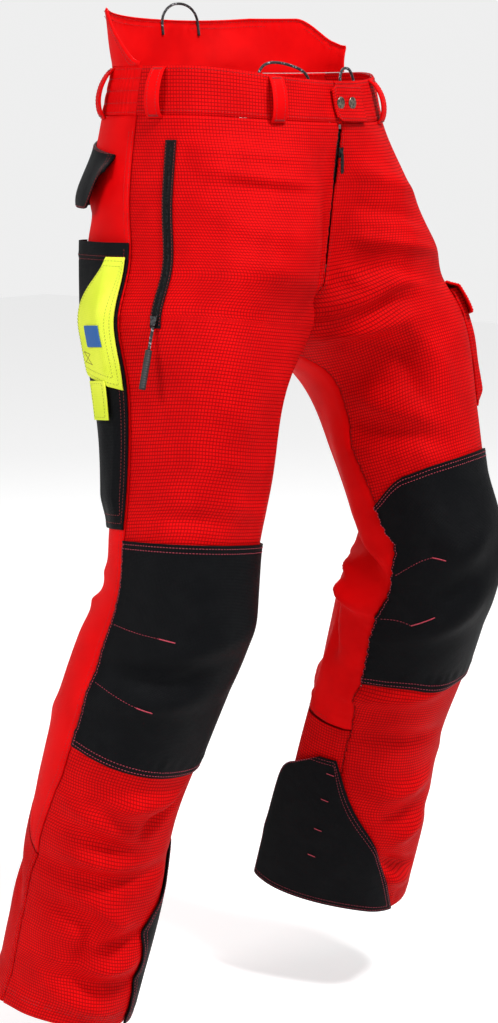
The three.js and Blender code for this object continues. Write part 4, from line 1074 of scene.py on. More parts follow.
def kidney_place(u, v):
    turn = mix(KIDNEY_RIGHT_END, KIDNEY_LEFT_END, u)
    top = kidney_height(turn)
    height = mix(top, SEAM_GAP, v)
    from_top = top - height
    crown = 0.5 * np.exp(-(((from_top - 4) / 3) ** 2)) + rolled(from_top, 1.0)
    slack = 0.9 * np.sin(turn * 0.11 + 0.8) * np.sin(height * 0.09)
    slack = slack + puckers(from_top - 8, turn * 2.6, 6, 12, 0.3)
    return kidney_spot(turn, height, crown + slack * smooth(height / 12))


cloth_piece("kidney_panel_cloth", edge_shares(240, 450), edge_shares(26, 60), kidney_place, KIDNEY_THICKNESS,
            red_stretch, stands_for=["kidney_panel"], outward=(0, 1, 0))


def kidney_row(below, out):
    def run(share, lift):
        turn = mix(KIDNEY_RIGHT_END + 2, KIDNEY_LEFT_END - 2, share)
        return kidney_spot(turn, np.maximum(kidney_height(turn) - below, 1), out + np.sign(out) * lift)
    return run


sew(
    "kidney_panel_stitches",
    [kidney_row(below, out) for below, out in ((3.5, 0.4), (9, 0.3), (3.5, -2.2), (9, -2.2))],
    red_thread,
)

# ---- Belt loops ----
# Seven loops of folded stretch cloth, each turned under and bar-tacked at the top and bottom and standing
# off the waistband between them. Two rows of stitches run down each one.
LOOP_WIDTH = 16
LOOP_THICKNESS = 2
LOOP_REST = 0.9
LOOP_STANDOFF = 9


def loop_cloth(name, spot, top, bottom):
    def loop_place(u, v, extra=0.0):
        lift = LOOP_STANDOFF * np.sin(math.pi * np.clip((v - 0.03) / 0.94, 0, 1)) ** 0.62
        edge = rolled(u * LOOP_WIDTH, 0.7, 1.0) + rolled((1 - u) * LOOP_WIDTH, 0.7, 1.0)
        out = LOOP_REST + LOOP_THICKNESS + lift + edge + extra
        return spot((u - 0.5) * LOOP_WIDTH, mix(top, bottom, v), out)

    centre = np.zeros((1, 1))
    half_way = np.full((1, 1), 30.0)
    middle = spot(centre, half_way, 5.0) - spot(centre, half_way, 0.0)
    cloth_piece(name + "_cloth", edge_shares(12, LOOP_WIDTH, 0.6), even(44), loop_place, LOOP_THICKNESS,
                red_stretch, stands_for=[name], outward=middle[0, 0])
    rows = [
        lambda s, lift, u=u: loop_place(np.full_like(s, u), mix(0.02, 0.98, s), lift)
        for u in (0.22, 0.78)
    ]
    bars = [
        lambda s, lift, v=v: loop_place(mix(0.16, 0.84, s), np.full_like(s, v), lift + 0.2)
        for v in (0.035, 0.055, 0.945, 0.965)
    ]
    sew(name + "_stitches", rows, red_thread)
    sew(name + "_bars", bars, red_thread, pitch=1.3, width=0.9)


for name, side, degrees in (
    ("belt_loop_side_right", RIGHT, -6.0), ("belt_loop_front_right", RIGHT, -62.0),
    ("belt_loop_rear_right", RIGHT, 30.0), ("belt_loop_side_left", LEFT, -6.0),
    ("belt_loop_front_left", LEFT, -62.0), ("belt_loop_rear_left", LEFT, 30.0),
):
    turn = float(degrees_for(side, np.array(0.0), np.array(degrees), 1))
    loop_cloth(
        name,
        lambda across, level, out, side=side, degrees=degrees, turn=turn: on_body(
            side, level, degrees + across * turn, out),
        float(band_top(degrees)) + 1,
        float(band_bottom(degrees)) + 3,
    )


def middle_back(across, level, out):
    spot = on_body(LEFT, level, 90.0 + 0 * across, out)
    spot[..., 0] = across
    return spot


loop_cloth("belt_loop_back", middle_back, 1, 53)

# ---- Closure tab and press studs ----
# A stiffened ripstop tab folded over the fly opening, closed with two antique metal press studs. The
# caps are set in the tab and the studs in the waistband behind it.
TAB_FREE_END = -10
TAB_SEWN_END = 44
TAB_OUTER = 5.7
TAB_THICKNESS = 2.4
TAB_TOP = 18
TAB_WIDTH = 54
TAB_HEIGHT = 38
STUD_LEVEL = 37.0


def across_front(x, level, out):
    """A point on the front of the garment, x millimetres from its middle."""
    x, level, out = (part.astype(float) for part in np.broadcast_arrays(x, level, out))
    right = on_body(RIGHT, level, front_degrees_at(RIGHT, level, np.abs(x)), out)
    left = on_body(LEFT, level, front_degrees_at(LEFT, level, np.abs(x)), out)
    spot = np.where((x < 0)[..., None], right, left)
    spot[..., 0] = x
    return spot


def tab_place(u, v, extra=0.0):
    corner = 4 * (1 - smooth(u / 0.12)) * (1 - 2 * v)
    edge = rolled(u * TAB_WIDTH, 0.7, 1.2)
    edge = edge + rolled(v * TAB_HEIGHT, 0.7, 1.2) + rolled((1 - v) * TAB_HEIGHT, 0.7, 1.2)
    level = TAB_TOP + TAB_HEIGHT * v + corner
    return across_front(mix(TAB_FREE_END, TAB_SEWN_END, u), level, TAB_OUTER + edge + extra)


cloth_piece(
    "closure_tab_cloth", edge_shares(44, TAB_WIDTH), edge_shares(32, TAB_HEIGHT), tab_place, TAB_THICKNESS,
    red_grid, body="closure_tab_body", stands_for=["closure_tab"],
    outward=(0, -1, 0),
)
sew(
    "closure_tab_stitches",
    [
        lambda s, lift: tab_place(mix(0.06, 0.98, s), 0.07 + 0 * s, lift),
        lambda s, lift: tab_place(mix(0.06, 0.98, s), 0.93 + 0 * s, lift),
        lambda s, lift: tab_place(0.06 + 0 * s, mix(0.07, 0.93, s), lift),
    ],
    red_thread,
    body="closure_tab_body",
)


def worn_metal(name, dark, bright, roughness):
    """Plated metal with a dark patina in its hollows."""
    finish, tree, shader = new_finish(name, bright, roughness)
    shader.inputs["Metallic"].default_value = 0.9
    patina = step_between(tree, object_noise(tree, 350, 4), 0.35, 0.65)
    tree.links.new(mixed(tree, patina, dark, bright), shader.inputs["Base Color"])
    raise_surface(tree, shader, object_noise(tree, 1500, 2), 0.3, 0.0001)
    return finish


snap_metal = worn_metal("snap_metal", (0.07, 0.055, 0.045), (0.30, 0.25, 0.20), 0.4)
zip_metal = worn_metal("zip_metal", (0.012, 0.012, 0.013), (0.05, 0.05, 0.052), 0.45)


def turned_disc(name, profile, spot, out, material, body, node, sides=40):
    """A round piece from a profile of (radius, height) in millimetres, laid at spot facing out."""
    shape = bmesh.new()
    uv = shape.loops.layers.uv.new("cloth")
    facing = Vector(out).normalized().to_track_quat("Z", "Y").to_matrix().to_4x4()
    place = Matrix.Translation(Vector(spot) / 1000) @ facing
    rings = []
    for radius, height in profile:
        raised = place @ Matrix.Translation((0, 0, height / 1000))
        ring = bmesh.ops.create_circle(shape, segments=sides, radius=radius / 1000, matrix=raised)
        rings.append(ring["verts"])
    for lower, upper in zip(rings[:-1], rings[1:]):
        for k in range(sides):
            shape.faces.new((lower[k], lower[(k + 1) % sides], upper[(k + 1) % sides], upper[k]))
    shape.faces.new(list(reversed(rings[0])))
    shape.faces.new(rings[-1])
    bmesh.ops.recalc_face_normals(shape, faces=shape.faces)
    back = place.inverted()
    for face in shape.faces:
        for loop in face.loops:
            flat = back @ loop.vert.co
            loop[uv].uv = (flat.x, flat.y)
    disc = link_mesh(name, shape, material)
    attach(disc, body)
    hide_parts(node)


CAP_PROFILE = [
    (5.4, 0), (6.3, 0), (6.5, 0.25), (6.4, 0.6), (5.9, 0.95), (5.2, 1.15), (4.7, 1.0), (4.3, 0.95),
    (3.9, 1.2), (2.8, 1.65), (1.5, 1.9), (0.4, 1.98),
]
STUD_PROFILE = [(4.6, -0.8), (5.0, -0.7), (5.0, -0.2), (3.2, 0.0), (2.6, 0.7), (2.2, 0.8), (0.4, 0.8)]
for i, x in enumerate((-1.0, 20.0)):
    front = across_front(x, STUD_LEVEL, 1.0) - across_front(x, STUD_LEVEL, 0.0)
    turned_disc("press_stud_cap_%d" % (i + 1), CAP_PROFILE, across_front(x, STUD_LEVEL, 6.3), front,
                snap_metal, "closure_tab_body", "snap_cap_%d" % (i + 1))
    turned_disc("press_stud_%d" % (i + 1), STUD_PROFILE, across_front(x, STUD_LEVEL, 1.7), front,
                snap_metal, "garment", "snap_stud_%d" % (i + 1))

# ---- Fly zip ----
# Two black tapes with coil teeth meeting in the middle, a cloth shield behind them, and a slider whose
# flat puller hangs on a small bridge.
TAPE_OUTER = -4.0
COIL_PITCH = 1.5
TOOTH_SIZE = (0.0026, 0.00055, 0.0009)
TAPE_THICKNESS = 1.4
FLY_ZIP_TOP = 64
FLY_ZIP_BOTTOM = 211


def tape_finish():
    finish, tree, shader = new_finish("black_zip", (0.006, 0.006, 0.0065), 0.65, shine=0.12)
    across, along = cloth_axes(tree)
    ribs = thread_wave(tree, arithmetic(tree, "MULTIPLY_ADD", along, 0.8, across), 0.0008)
    tree.links.new(mixed(tree, ribs, (0.004, 0.004, 0.0045), (0.011, 0.011, 0.012)),
                   shader.inputs["Base Color"])
    raise_surface(tree, shader, ribs, 0.6, 0.0005)
    return finish


zip_tape = tape_finish()


def coil_teeth(name, line_at, length, body="garment"):
    """Teeth: small rounded bars across the zip, one every COIL_PITCH."""
    shape = bmesh.new()
    count = int(length / COIL_PITCH)
    share = (np.arange(count) + 0.5) / count
    spots = line_at(share, 0.0)
    above = line_at(share, 1.0)
    ahead = line_at(np.clip(share + 0.002, 0, 1), 0.0)
    for spot, top, following in zip(spots, above, ahead):
        out = Vector(top - spot).normalized()
        along = Vector(following - spot).normalized()
        turn = Matrix((out.cross(along), along, out)).transposed().to_4x4()
        size = Matrix.Diagonal((*TOOTH_SIZE, 1))
        bmesh.ops.create_icosphere(shape, subdivisions=1, radius=1,
                                   matrix=Matrix.Translation(Vector(spot) / 1000) @ turn @ size)
    teeth = link_mesh(name, shape, zip_metal)
    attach(teeth, body)


for side in (RIGHT, LEFT):
    name = "fly_zip_tape_" + side["name"]
    cloth_piece(
        name + "_cloth", edge_shares(12, 14, 0.5), even(60),
        lambda u, v, side=side: across_front(
            side["x"] * mix(0.4, 14, u), mix(FLY_ZIP_TOP, FLY_ZIP_BOTTOM, v), TAPE_OUTER + 0 * u),
        TAPE_THICKNESS, zip_tape, stands_for=[name], outward=(0, -1, 0),
    )
coil_teeth(
    "fly_zip_teeth",
    lambda s, lift: across_front(
        0.0 * s, mix(FLY_ZIP_TOP + 2, FLY_ZIP_BOTTOM - 2, s), TAPE_OUTER + 1.2 + lift),
    145,
)
cloth_piece(
    "fly_shield_cloth", edge_shares(16, 24, 0.5), even(60),
    lambda u, v: across_front(mix(-14, 10, u), mix(FLY_ZIP_TOP, 207, v), -6.2 + 0 * u),
    TAPE_THICKNESS, red_stretch, stands_for=["fly_shield"], outward=(0, -1, 0),
)


def block(name, outline, low, high, frame_axes, material, body, node, bevel=0.0004):
    """A flat solid: an outline of (across, up) raised from low to high, with its edges rounded."""
    origin, across, up, out = frame_axes
    turn = Matrix((across, up, out)).transposed().to_4x4()
    place = Matrix.Translation(Vector(origin) / 1000) @ turn
    shape = bmesh.new()
    shape.loops.layers.uv.new("cloth")
    base = [shape.verts.new(place @ (Vector((x, y, low)) / 1000)) for x, y in outline]
    face = shape.faces.new(base)
    grown = bmesh.ops.extrude_face_region(shape, geom=[face])["geom"]
    moved = [part for part in grown if isinstance(part, bmesh.types.BMVert)]
    bmesh.ops.translate(shape, verts=moved, vec=Vector(out) * (high - low) / 1000)
    bmesh.ops.recalc_face_normals(shape, faces=shape.faces)
    bmesh.ops.bevel(shape, geom=shape.edges[:], offset=bevel, segments=3, profile=0.5, affect="EDGES",
                    material=-1)
    piece = link_mesh(name, shape, material, smooth_faces=False)
    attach(piece, body)
    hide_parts(node)


def axes_at(origin, up, out):
    up = Vector(up).normalized()
    out = Vector(out)
    across = up.cross(out).normalized()
    return origin, across, up, across.cross(up).normalized()


SLIDER_OUTLINE = [
    (-4, 5.5), (-4, 2.5), (-2.5, -5.5), (2.5, -5.5), (4, 2.5), (4, 5.5), (1.6, 4.4), (-1.6, 4.4),
]
fly_spot = across_front(0.0, 88.0, 0.5)
fly_up = across_front(0.0, 78.0, 0.5) - across_front(0.0, 98.0, 0.5)
fly_axes = axes_at(fly_spot, fly_up, (0, -1, 0))
block("fly_slider_cast", SLIDER_OUTLINE, 0.1, 3.1, fly_axes, zip_metal, "fly_slider_body", "fly_slider")
PULLER_OUTLINE = [
    (-1.6, -0.2), (1.6, -0.2), (2.5, -6), (2.5, -19.5), (1.4, -21.6), (-1.4, -21.6), (-2.5, -19.5),
    (-2.5, -6),
]
puller_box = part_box("fly_puller")
puller_low = np.array(puller_box[0]) * 1000
puller_spot = (0.0, puller_low[1] + 1.5, -89.0)
block("fly_puller_plate", PULLER_OUTLINE, 0.15, 1.35, axes_at(puller_spot, (0, 0, 1), (0, -1, 0)), zip_metal,
      "fly_puller_body", "fly_puller")

# ---- Hip pocket zips ----
# A slanting welt zip at the front of each hip with a grey pocket bag behind it. The slider hangs a cord
# pull with a ribbed rubber grip.
HIP_ZIP_TOP = 75
HIP_ZIP_BOTTOM = 278
HIP_ZIP_WIDTH = 12
PULL_STAND_OUT = 15
GRIP_RADIUS = 0.0035
hip_zip_degrees = curve_through([(HIP_ZIP_TOP, -14), (170, -11), (HIP_ZIP_BOTTOM, -12)])
HIP_RUNS = {
    "right": {"low": (-225.1, -56.8, -254.3), "up": (0.2741, 0.1141, 0.9549), "eye": (-229.2, -58.1, -259.7),
              "hang": (-0.088, 0, -0.996)},
    "left": {"low": (218.6, -70.7, -238.2), "up": (-0.2577, 0.2096, 0.9432), "eye": (222.6, -72.5, -243.5),
             "hang": (0.073, 0, -0.997)},
}


def rubber_finish():
    finish, tree, shader = new_finish("grip_rubber", (0.018, 0.018, 0.019), 0.55)
    ribs = thread_wave(tree, cloth_axes(tree)[1], 0.0025)
    scuff = object_noise(tree, 200, 4)
    tree.links.new(mixed(tree, scuff, (0.01, 0.01, 0.011), (0.035, 0.035, 0.037)),
                   shader.inputs["Base Color"])
    raise_surface(tree, shader, ribs, 0.8, 0.0008)
    return finish


rubber = rubber_finish()
for side in (RIGHT, LEFT):
    label = side["name"]

    def zip_place(u, v, side=side, extra=0.0):
        level = mix(HIP_ZIP_TOP, HIP_ZIP_BOTTOM, v)
        middle = hip_zip_degrees(level)[..., 0]
        welt = 0.7 * np.exp(-(((np.abs(u - 0.5) * HIP_ZIP_WIDTH - 3.6) / 1.5) ** 2))
        welt = welt - 0.5 * np.exp(-(((u - 0.5) * HIP_ZIP_WIDTH / 1.8) ** 2))
        degrees = middle + (0.5 - u) * HIP_ZIP_WIDTH * degrees_for(side, level, middle, 1)
        return on_body(side, level, degrees, 2.0 + welt + extra)

    cloth_piece("hip_zip_tape_" + label, edge_shares(22, HIP_ZIP_WIDTH, 0.4), even(120), zip_place,
                TAPE_THICKNESS, zip_tape, stands_for=["hip_zip_" + label],
                outward=(side["x"], -0.3, 0))
    coil_teeth(
        "hip_zip_teeth_" + label,
        lambda s, lift, place=zip_place: place(0.5 + 0 * s, mix(0.01, 0.99, s), extra=lift + 0.1),
        HIP_ZIP_BOTTOM - HIP_ZIP_TOP,
    )
    sew(
        "hip_zip_stitches_" + label,
        [
            lambda s, lift, u=u, place=zip_place: place(u + 0 * s, mix(0.01, 0.99, s), extra=lift)
            for u in (0.1, 0.9)
        ],
        red_thread,
    )

    def bag_place(u, v, side=side):
        level = mix(79, 300 - 20 * u * u, v)
        return on_body(side, level, hip_zip_degrees(level)[..., 0] - mix(4, 42, u), -11.8)

    cloth_piece("hip_pocket_bag_cloth_" + label, even(20), even(60), bag_place, 0.9, grey_lining,
                stands_for=["hip_pocket_bag_" + label], outward=(side["x"], -0.6, 0))
    run = HIP_RUNS[label]
    body = "hip_slider_%s_body" % label
    outside = on_body(side, 270.0, -12.0, 12.0) - on_body(side, 270.0, -12.0, 2.0)
    hip_axes = axes_at(run["low"], run["up"], outside)
    block("hip_slider_cast_" + label, SLIDER_OUTLINE, 0.1, 3.1, hip_axes, zip_metal, body,
          "hip_zip_slider_" + label)
    hang = Vector(run["hang"]).normalized()
    hinge = hang.cross(hip_axes[3]).normalized()
    hang.rotate(Matrix.Rotation(math.radians(PULL_STAND_OUT), 3, hinge))
    eye = Vector(run["eye"]) / 1000
    steps = np.linspace(0, 0.024, 14)
    cord_line = np.array([eye + hang * s for s in steps])
    pull = tube_along("hip_pull_braid_" + label, cord_line, CORD_DIAMETER / 2, braid)
    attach(pull, "hip_pull_%s_body" % label)
    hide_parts("hip_pull_cord_" + label)
    grip_line = np.array([eye + hang * s for s in np.linspace(0.0243, 0.0643, 40)])
    grip = tube_along("hip_pull_rubber_" + label, grip_line, GRIP_RADIUS, rubber, sides=20)
    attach(grip, "hip_pull_%s_body" % label)
    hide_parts("hip_pull_grip_" + label)

# ---- Pockets ----
# Patch pockets whose cloth stands away from the leg and is open at the top: a long black nylon one on the
# right thigh, a ripstop cargo pocket on the left thigh, and a lined bag inside the right seat.
PATCH_THICKNESS = 1.8
THIGH_POCKET_FRONT = 52
THIGH_POCKET_TOP = 180
THIGH_POCKET_BOTTOM = 487


def black_nylon_finish():
    """Black coated nylon: coarse plain weave, dull, with dust in the weave and a painted highlight on its
    raised threads.
    """
    finish, tree, shader = new_finish("black_nylon", (0.006, 0.0065, 0.007), 0.5, shine=0.07)
    across, along = cloth_axes(tree)
    weave = arithmetic(tree, "MULTIPLY", thread_wave(tree, across, 0.0015), thread_wave(tree, along, 0.0015))
    dust = step_between(tree, object_noise(tree, 40, 5), 0.42, 0.72)
    ground = mixed(tree, dust, (0.002, 0.0022, 0.003), (0.0035, 0.0038, 0.0046))
    # The weave's raised threads are painted a lighter bluish black: a painted highlight, not the cloth's own
    # colour.
    tree.links.new(mixed(tree, arithmetic(tree, "MULTIPLY", weave, 1.6), ground, (0.012, 0.013, 0.015)),
                   shader.inputs["Base Color"])
    slack = arithmetic(tree, "MULTIPLY_ADD", object_noise(tree, 90, 3), 0.6, weave)
    raise_surface(tree, shader, slack, 0.9, 0.0016)
    return finish


black_nylon = black_nylon_finish()


def pocket_lift(u, v):
    return 1.4 + 7 * smooth(u / 0.2) * smooth((1 - u) / 0.2) * smooth((1 - v) / 0.12)


def panel_on(side, left, right, top, bottom, lift):
    """place(u, v) for a patch with its own outline: levels at u, degrees at a level."""
    def place(u, v, extra=0.0):
        level = mix(top(u), bottom(u), v)
        degrees = mix(left(level), right(level), u)
        return on_cloth(side, level, degrees, lift(u, v, level, degrees) + extra)
    return place


def outline_rows(place, insets=(0.03, 0.06), sides="tblr"):
    """Stitch rows just inside the top, bottom, left and right edges of a patch."""
    def across(inset, v):
        return lambda s, lift: place(mix(inset, 1 - inset, s), v + 0 * s, lift)

    def down(inset, u):
        return lambda s, lift: place(u + 0 * s, mix(inset, 1 - inset, s), lift)

    rows = []
    for inset in insets:
        long = inset * 0.6
        if "t" in sides:
            rows.append(across(inset, long))
        if "b" in sides:
            rows.append(across(inset, 1 - long))
        if "l" in sides:
            rows.append(down(long, inset))
        if "r" in sides:
            rows.append(down(long, 1 - inset))
    return rows


def pocket_wall(width, height):
    def lift(u, v, level, degrees):
        edge = rolled(u * width, 0.8) + rolled((1 - u) * width, 0.8) + rolled((1 - v) * height, 0.8)
        slack = 0.8 * np.sin(u * 9 + v * 5) * np.sin(v * 11 + 0.6) * smooth(u / 0.2) * smooth((1 - u) / 0.2)
        hem = 0.5 * np.exp(-(((v * height - 16) / 3) ** 2)) + rolled(v * height - 19, 0.5, 1.5)
        return pocket_lift(u, v) + PATCH_THICKNESS + edge + slack + hem
    return lift


thigh_pocket = panel_on(
    RIGHT, lambda level: THIGH_POCKET_FRONT + 0 * level, lambda level: side_edge(RIGHT, level, 2),
    lambda u: THIGH_POCKET_TOP + 0 * u, lambda u: THIGH_POCKET_BOTTOM + 0 * u, pocket_wall(66, 307),
)
cloth_piece("thigh_pocket_cloth", edge_shares(40, 66), edge_shares(130, 307), thigh_pocket, PATCH_THICKNESS,
            black_nylon, stands_for=["thigh_pocket"], outward=(-1, 0.5, 0))
sew(
    "thigh_pocket_stitches",
    outline_rows(thigh_pocket, (0.035, 0.08), "blr")
    + [lambda s, lift, v=v: thigh_pocket(mix(0.02, 0.98, s), v + 0 * s, lift) for v in (0.05, 0.064)],
    red_thread,
)
cargo_pocket = panel_on(LEFT, lambda level: -21.0 + 0 * level, lambda level: -54.0 + 0 * level,
                        lambda u: 300.0 + 0 * u, lambda u: 450.0 + 0 * u, pocket_wall(60, 150))
cloth_piece("cargo_pocket_cloth", edge_shares(38, 60), edge_shares(70, 150), cargo_pocket, PATCH_THICKNESS,
            red_grid, stands_for=["cargo_pocket"], outward=(1, -0.6, 0))
sew("cargo_pocket_stitches", outline_rows(cargo_pocket, (0.035, 0.09), "blr"), red_thread)
cloth_piece(
    "rear_pocket_bag_cloth", even(24), even(50),
    lambda u, v: on_body(RIGHT, mix(100, 235, v), mix(76.0, 26.0, u), -4.5 + 0 * u),
    1.6, grey_lining, stands_for=["rear_pocket_bag"], outward=(-0.6, 1, 0),
)

# ---- First-aid pocket, its label and pull tab ----
# A hi-vis knit pocket sewn over the thigh pocket with a curved front edge, a plain blue woven label and a
# short webbing tab that lifts it open.
HIVIS_OVER_POCKET = 1.6
LABEL_THICKNESS = 0.8
LABEL_OVER_POCKET = 4.1


def hivis_finish():
    """Fluorescent yellow knit with small round eyelets in staggered rows."""
    finish, tree, shader = new_finish("hivis_cloth", (0.78, 0.88, 0.055), 0.6, shine=0.12)
    across, along = cloth_axes(tree)
    eyes = arithmetic(tree, "MULTIPLY", thread_wave(tree, across, 0.0022), thread_wave(tree, along, 0.0019))
    holes = step_between(tree, eyes, 0.13, 0.2)
    dye = step_between(tree, object_noise(tree, 30, 3), 0.3, 0.7)
    ground = mixed(tree, dye, (0.72, 0.84, 0.045), (0.82, 0.91, 0.07))
    tree.links.new(mixed(tree, arithmetic(tree, "MULTIPLY", holes, 0.5), ground, (0.42, 0.52, 0.02)),
                   shader.inputs["Base Color"])
    raise_surface(tree, shader, arithmetic(tree, "MULTIPLY", holes, -1.0), 0.6, 0.0005)
    return finish


hivis = hivis_finish()


def over_thigh_pocket(level, degrees):
    right = side_edge(RIGHT, level, 2)
    u = (degrees - THIGH_POCKET_FRONT) / (right - THIGH_POCKET_FRONT)
    v = (level - THIGH_POCKET_TOP) / (THIGH_POCKET_BOTTOM - THIGH_POCKET_TOP)
    inside = (u >= 0) & (u <= 1) & (v >= 0) & (v <= 1)
    return np.where(inside, pocket_lift(np.clip(u, 0, 1), np.clip(v, 0, 1)) + PATCH_THICKNESS, 0)


def hivis_lift(u, v, level, degrees):
    edge = rolled(u * 48, 0.7) + rolled((1 - u) * 48, 0.7)
    edge = edge + rolled((1 - v) * 140, 0.7) + rolled(v * 140, 0.7)
    return over_thigh_pocket(level, degrees) + HIVIS_OVER_POCKET + PATCH_THICKNESS + edge


first_aid = panel_on(RIGHT, lambda level: mix(14, 42, smooth((level - 190) / 90)),
                     lambda level: side_edge(RIGHT, level, 5), lambda u: 196.0 + 0 * u,
                     lambda u: 328 + 16 * u, hivis_lift)
cloth_piece("first_aid_pocket_cloth", edge_shares(36, 48), edge_shares(70, 140), first_aid, PATCH_THICKNESS,
            hivis, stands_for=["first_aid_pocket"], outward=(-1, 0.3, 0))
olive_thread = thread_finish("olive_thread", (0.42, 0.46, 0.03))
sew("first_aid_pocket_stitches", outline_rows(first_aid, (0.05, 0.12), "tlbr"), olive_thread)
sew(
    "first_aid_box_stitches",
    [
        lambda s, lift, a=a, b=b: first_aid(mix(a[0], b[0], s), mix(a[1], b[1], s), lift)
        for a, b in (((0.2, 0.8), (0.45, 0.8)), ((0.2, 0.88), (0.45, 0.88)), ((0.2, 0.8), (0.45, 0.88)),
                     ((0.45, 0.8), (0.2, 0.88)))
    ],
    thread_finish("dark_red_thread", (0.16, 0.01, 0.015)),
    pitch=1.8,
)


def label_finish():
    finish, tree, shader = new_finish("label_blue", (0.02, 0.13, 0.42), 0.6, 0.1)
    across, along = cloth_axes(tree)
    satin = thread_wave(tree, along, 0.0006)
    tree.links.new(mixed(tree, satin, (0.012, 0.09, 0.32), (0.03, 0.18, 0.52)), shader.inputs["Base Color"])
    raise_surface(tree, shader, satin, 0.4, 0.0003)
    return finish


label_place = panel_on(RIGHT, lambda level: 27.0 + 0 * level, lambda level: 15.0 + 0 * level,
                       lambda u: 276.0 + 0 * u, lambda u: 300.0 + 0 * u,
                       lambda u, v, level, degrees: over_thigh_pocket(level, degrees) + LABEL_OVER_POCKET
                       + LABEL_THICKNESS)
cloth_piece("pocket_label_cloth", edge_shares(20, 14, 0.3), edge_shares(26, 24, 0.3), label_place,
            LABEL_THICKNESS, label_finish(), stands_for=["pocket_label"],
            outward=(-1, 0.2, 0))
tab_on = panel_on(RIGHT, lambda level: 34.0 + 0 * level, lambda level: 18.0 + 0 * level,
                  lambda u: 335.0 + 0 * u, lambda u: 375.0 + 0 * u,
                  lambda u, v, level, degrees: over_thigh_pocket(level, degrees) + LABEL_OVER_POCKET
                  + PATCH_THICKNESS + rolled(u * 18, 0.5, 0.9) + rolled((1 - u) * 18, 0.5, 0.9))
cloth_piece("first_aid_pull_tab_cloth", edge_shares(20, 18, 0.5), edge_shares(34, 40, 0.5), tab_on,
            PATCH_THICKNESS, hivis, body="first_aid_tab_body", stands_for=["first_aid_pull_tab"],
            outward=(-1, 0.2, 0))
sew("first_aid_pull_tab_stitches", outline_rows(tab_on, (0.12,), "tblr"), olive_thread,
    body="first_aid_tab_body")

# ---- Pocket flaps ----
# The rear flap is black nylon with a cut-off corner that curls outwards; the cargo flap is stretch cloth.
# Both are sewn on along the top and edged with two rows of stitches.
FLAP_THICKNESS = 2.4


def flap_edges(u, v, width, height):
    return (rolled(u * width, 0.8) + rolled((1 - u) * width, 0.8) + rolled(v * height, 0.8)
            + rolled((1 - v) * height, 0.8))


rear_flap = panel_on(
    RIGHT, lambda level: 80.0 + 0 * level, lambda level: 12.0 + 0 * level, lambda u: mix(66.0, 90.0, u),
    lambda u: 146 - 38 * smooth((u - 0.78) / 0.22),
    lambda u, v, level, degrees: 0.8 + 12 * smooth(v) + FLAP_THICKNESS + flap_edges(u, v, 150, 70),
)
cloth_piece("rear_pocket_flap_cloth", edge_shares(80, 150), edge_shares(40, 70), rear_flap, FLAP_THICKNESS,
            black_nylon, body="rear_flap_body", stands_for=["rear_pocket_flap"],
            outward=(-0.6, 1, 0))
sew("rear_pocket_flap_stitches", outline_rows(rear_flap, (0.025, 0.055), "tblr"), red_thread,
    body="rear_flap_body")
cargo_flap = panel_on(
    LEFT, lambda level: -19.0 + 0 * level, lambda level: -56.0 + 0 * level, lambda u: 284.0 + 0 * u,
    lambda u: 344.0 + 0 * u,
    lambda u, v, level, degrees: mix(1.4, 11, smooth(v / 0.25)) + FLAP_THICKNESS + flap_edges(u, v, 66, 60),
)
cloth_piece("cargo_pocket_flap_cloth", edge_shares(44, 66), edge_shares(40, 60), cargo_flap, FLAP_THICKNESS,
            red_stretch, body="cargo_flap_body", stands_for=["cargo_pocket_flap"],
            outward=(1, -0.6, 0))
sew("cargo_pocket_flap_stitches", outline_rows(cargo_flap, (0.04, 0.1), "tblr"), red_thread,
    body="cargo_flap_body")

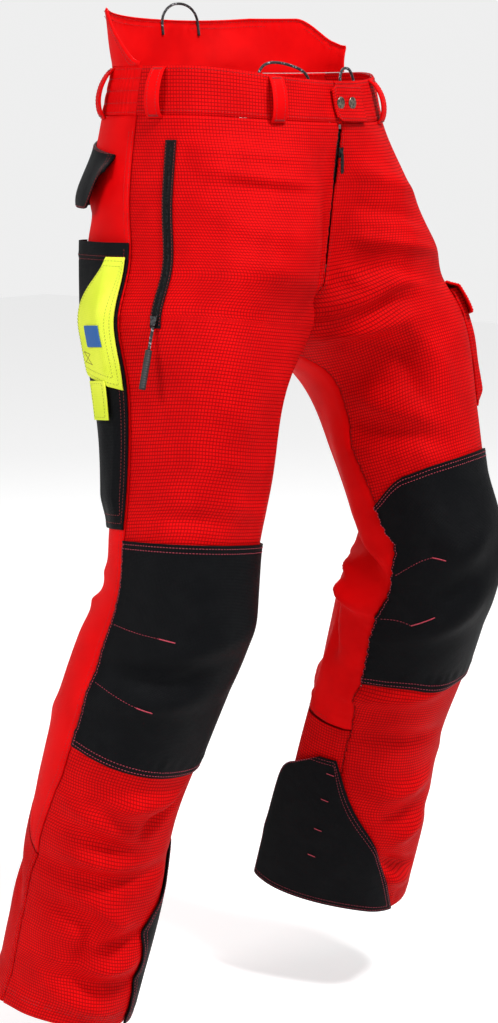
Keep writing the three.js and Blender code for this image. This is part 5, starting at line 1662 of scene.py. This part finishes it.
# ---- Knee patches ----
# Coated black nylon over each knee, from above the kneecap to the top of the shin, with doubled pink
# stitching along its edges and two stitched darts on each side.
KNEE_PATCH_TOP = 498
KNEE_PATCH_BOTTOM = 730
KNEE_PATCH_OUT = 3.2
pink_thread = thread_finish("pink_thread", (0.72, 0.05, 0.10))
for side in (RIGHT, LEFT):
    label = side["name"]
    place = leg_cloth(
        side,
        lambda level, side=side: side_edge(side, level, -2),
        lambda level, side=side: front_inner_edge(side, level) + 2,
        lambda degrees, side=side: KNEE_PATCH_TOP + 30 * smooth(
            (float(front_inner_edge(side, np.array(KNEE_PATCH_TOP + 0.0))) + 26 - degrees) / 28),
        lambda degrees: KNEE_PATCH_BOTTOM + 0 * degrees,
        KNEE_PATCH_OUT,
    )
    cloth_piece(
        "knee_patch_%s_cloth" % label, edge_shares(84, 230), edge_shares(96, 232), place, PATCH_THICKNESS,
        black_nylon, stands_for=["knee_patch_" + label],
        outward=(side["x"] * 0.3, -1, 0),
    )

    def patch_row(start, end, place=place, side=side):
        def run(share, lift):
            u = mix(start[0], end[0], share)
            v = mix(start[1], end[1], share)
            spots = place(u, v)
            du = place(np.clip(u + 0.01, 0, 1), v) - place(np.clip(u - 0.01, 0, 1), v)
            dv = place(u, np.clip(v + 0.01, 0, 1)) - place(u, np.clip(v - 0.01, 0, 1))
            normal = np.cross(du, dv)
            normal /= np.linalg.norm(normal, axis=-1)[..., None]
            centre = np.array([side["x"] * 122.0, -20.0, 0.0])
            flip = np.sign(((spots - centre) * normal)[..., :2].sum(-1))[..., None]
            return spots + normal * flip * lift
        return run

    sew("knee_patch_%s_stitches" % label,
        [patch_row((0.01, v), (0.99, v)) for v in (0.014, 0.034, 0.966, 0.986)]
        + [patch_row((u, 0.01), (u, 0.99)) for u in (0.012, 0.988)], pink_thread, width=0.85)
    darts = [
        ((0.02, 0.397), (0.21, 0.375), (0.28, 0.372)), ((0.02, 0.677), (0.22, 0.68), (0.29, 0.68)),
        ((0.98, 0.375), (0.88, 0.36), (0.83, 0.375)), ((0.98, 0.60), (0.89, 0.63), (0.834, 0.59)),
    ]
    sew("knee_dart_%s_stitches" % label, [patch_row(start, end) for start, end, _ in darts], pink_thread)
    sew("knee_dart_%s_bars" % label, [patch_row(end, tip) for _, end, tip in darts], pink_thread, pitch=1.2,
        width=1.5)

# ---- Kick panels ----
# Black nylon guards at the inside of each hem, the same cloth as the knee patches, held with doubled
# stitching and four bar tacks along the front edge.
KICK_TOP = 838
KICK_BOTTOM = 1028
KICK_OUT = 4.0
BAR_TACK_LEVELS = (856.0, 890.0, 930.0, 966.0)
kick_front = {
    "left": curve_through([(KICK_TOP, -158), (912, -143), (987, -114), (SIDE_LENGTH, -98)]),
    "right": curve_through([(KICK_TOP, -150), (868, -130), (900, -100), (950, -103), (SIDE_LENGTH, -103)]),
}
kick_rear = curve_through([(KICK_TOP, -166), (870, -186), (910, -194), (SIDE_LENGTH, -194)])


def tack_run(side, level, degrees, width, lean, out=0.0):
    """A bar tack: a short bar of close stitches."""
    def run(share, lift):
        across = (share - 0.5) * width
        turn = degrees_for(side, np.asarray(level, float), degrees, 1)
        down = level + across * np.sin(lean)
        return on_cloth(side, down, degrees + across * np.cos(lean) * turn, out + lift)
    return run


for side in (RIGHT, LEFT):
    label = side["name"]
    place = panel_on(
        side,
        lambda level, label=label: kick_front[label](level)[..., 0],
        lambda level: kick_rear(level)[..., 0],
        lambda u: KICK_TOP + 0 * u,
        lambda u: KICK_BOTTOM + 0 * u,
        lambda u, v, level, degrees: KICK_OUT + rolled(u * 110, 0.7) + rolled((1 - u) * 110, 0.7),
    )
    cloth_piece(
        "kick_panel_%s_cloth" % label, edge_shares(50, 110), edge_shares(80, 190), place, PATCH_THICKNESS,
        black_nylon, stands_for=["kick_panel_" + label],
        outward=(-side["x"], -0.4, 0),
    )
    sew("kick_panel_%s_stitches" % label, outline_rows(place, (0.02, 0.055), "tblr"), pink_thread)
    sew("kick_panel_%s_bars" % label,
        [tack_run(side, level, -158.0, 8, 0.15, KICK_OUT + 0.3) for level in BAR_TACK_LEVELS], pink_thread,
        pitch=1.2, width=1.3)
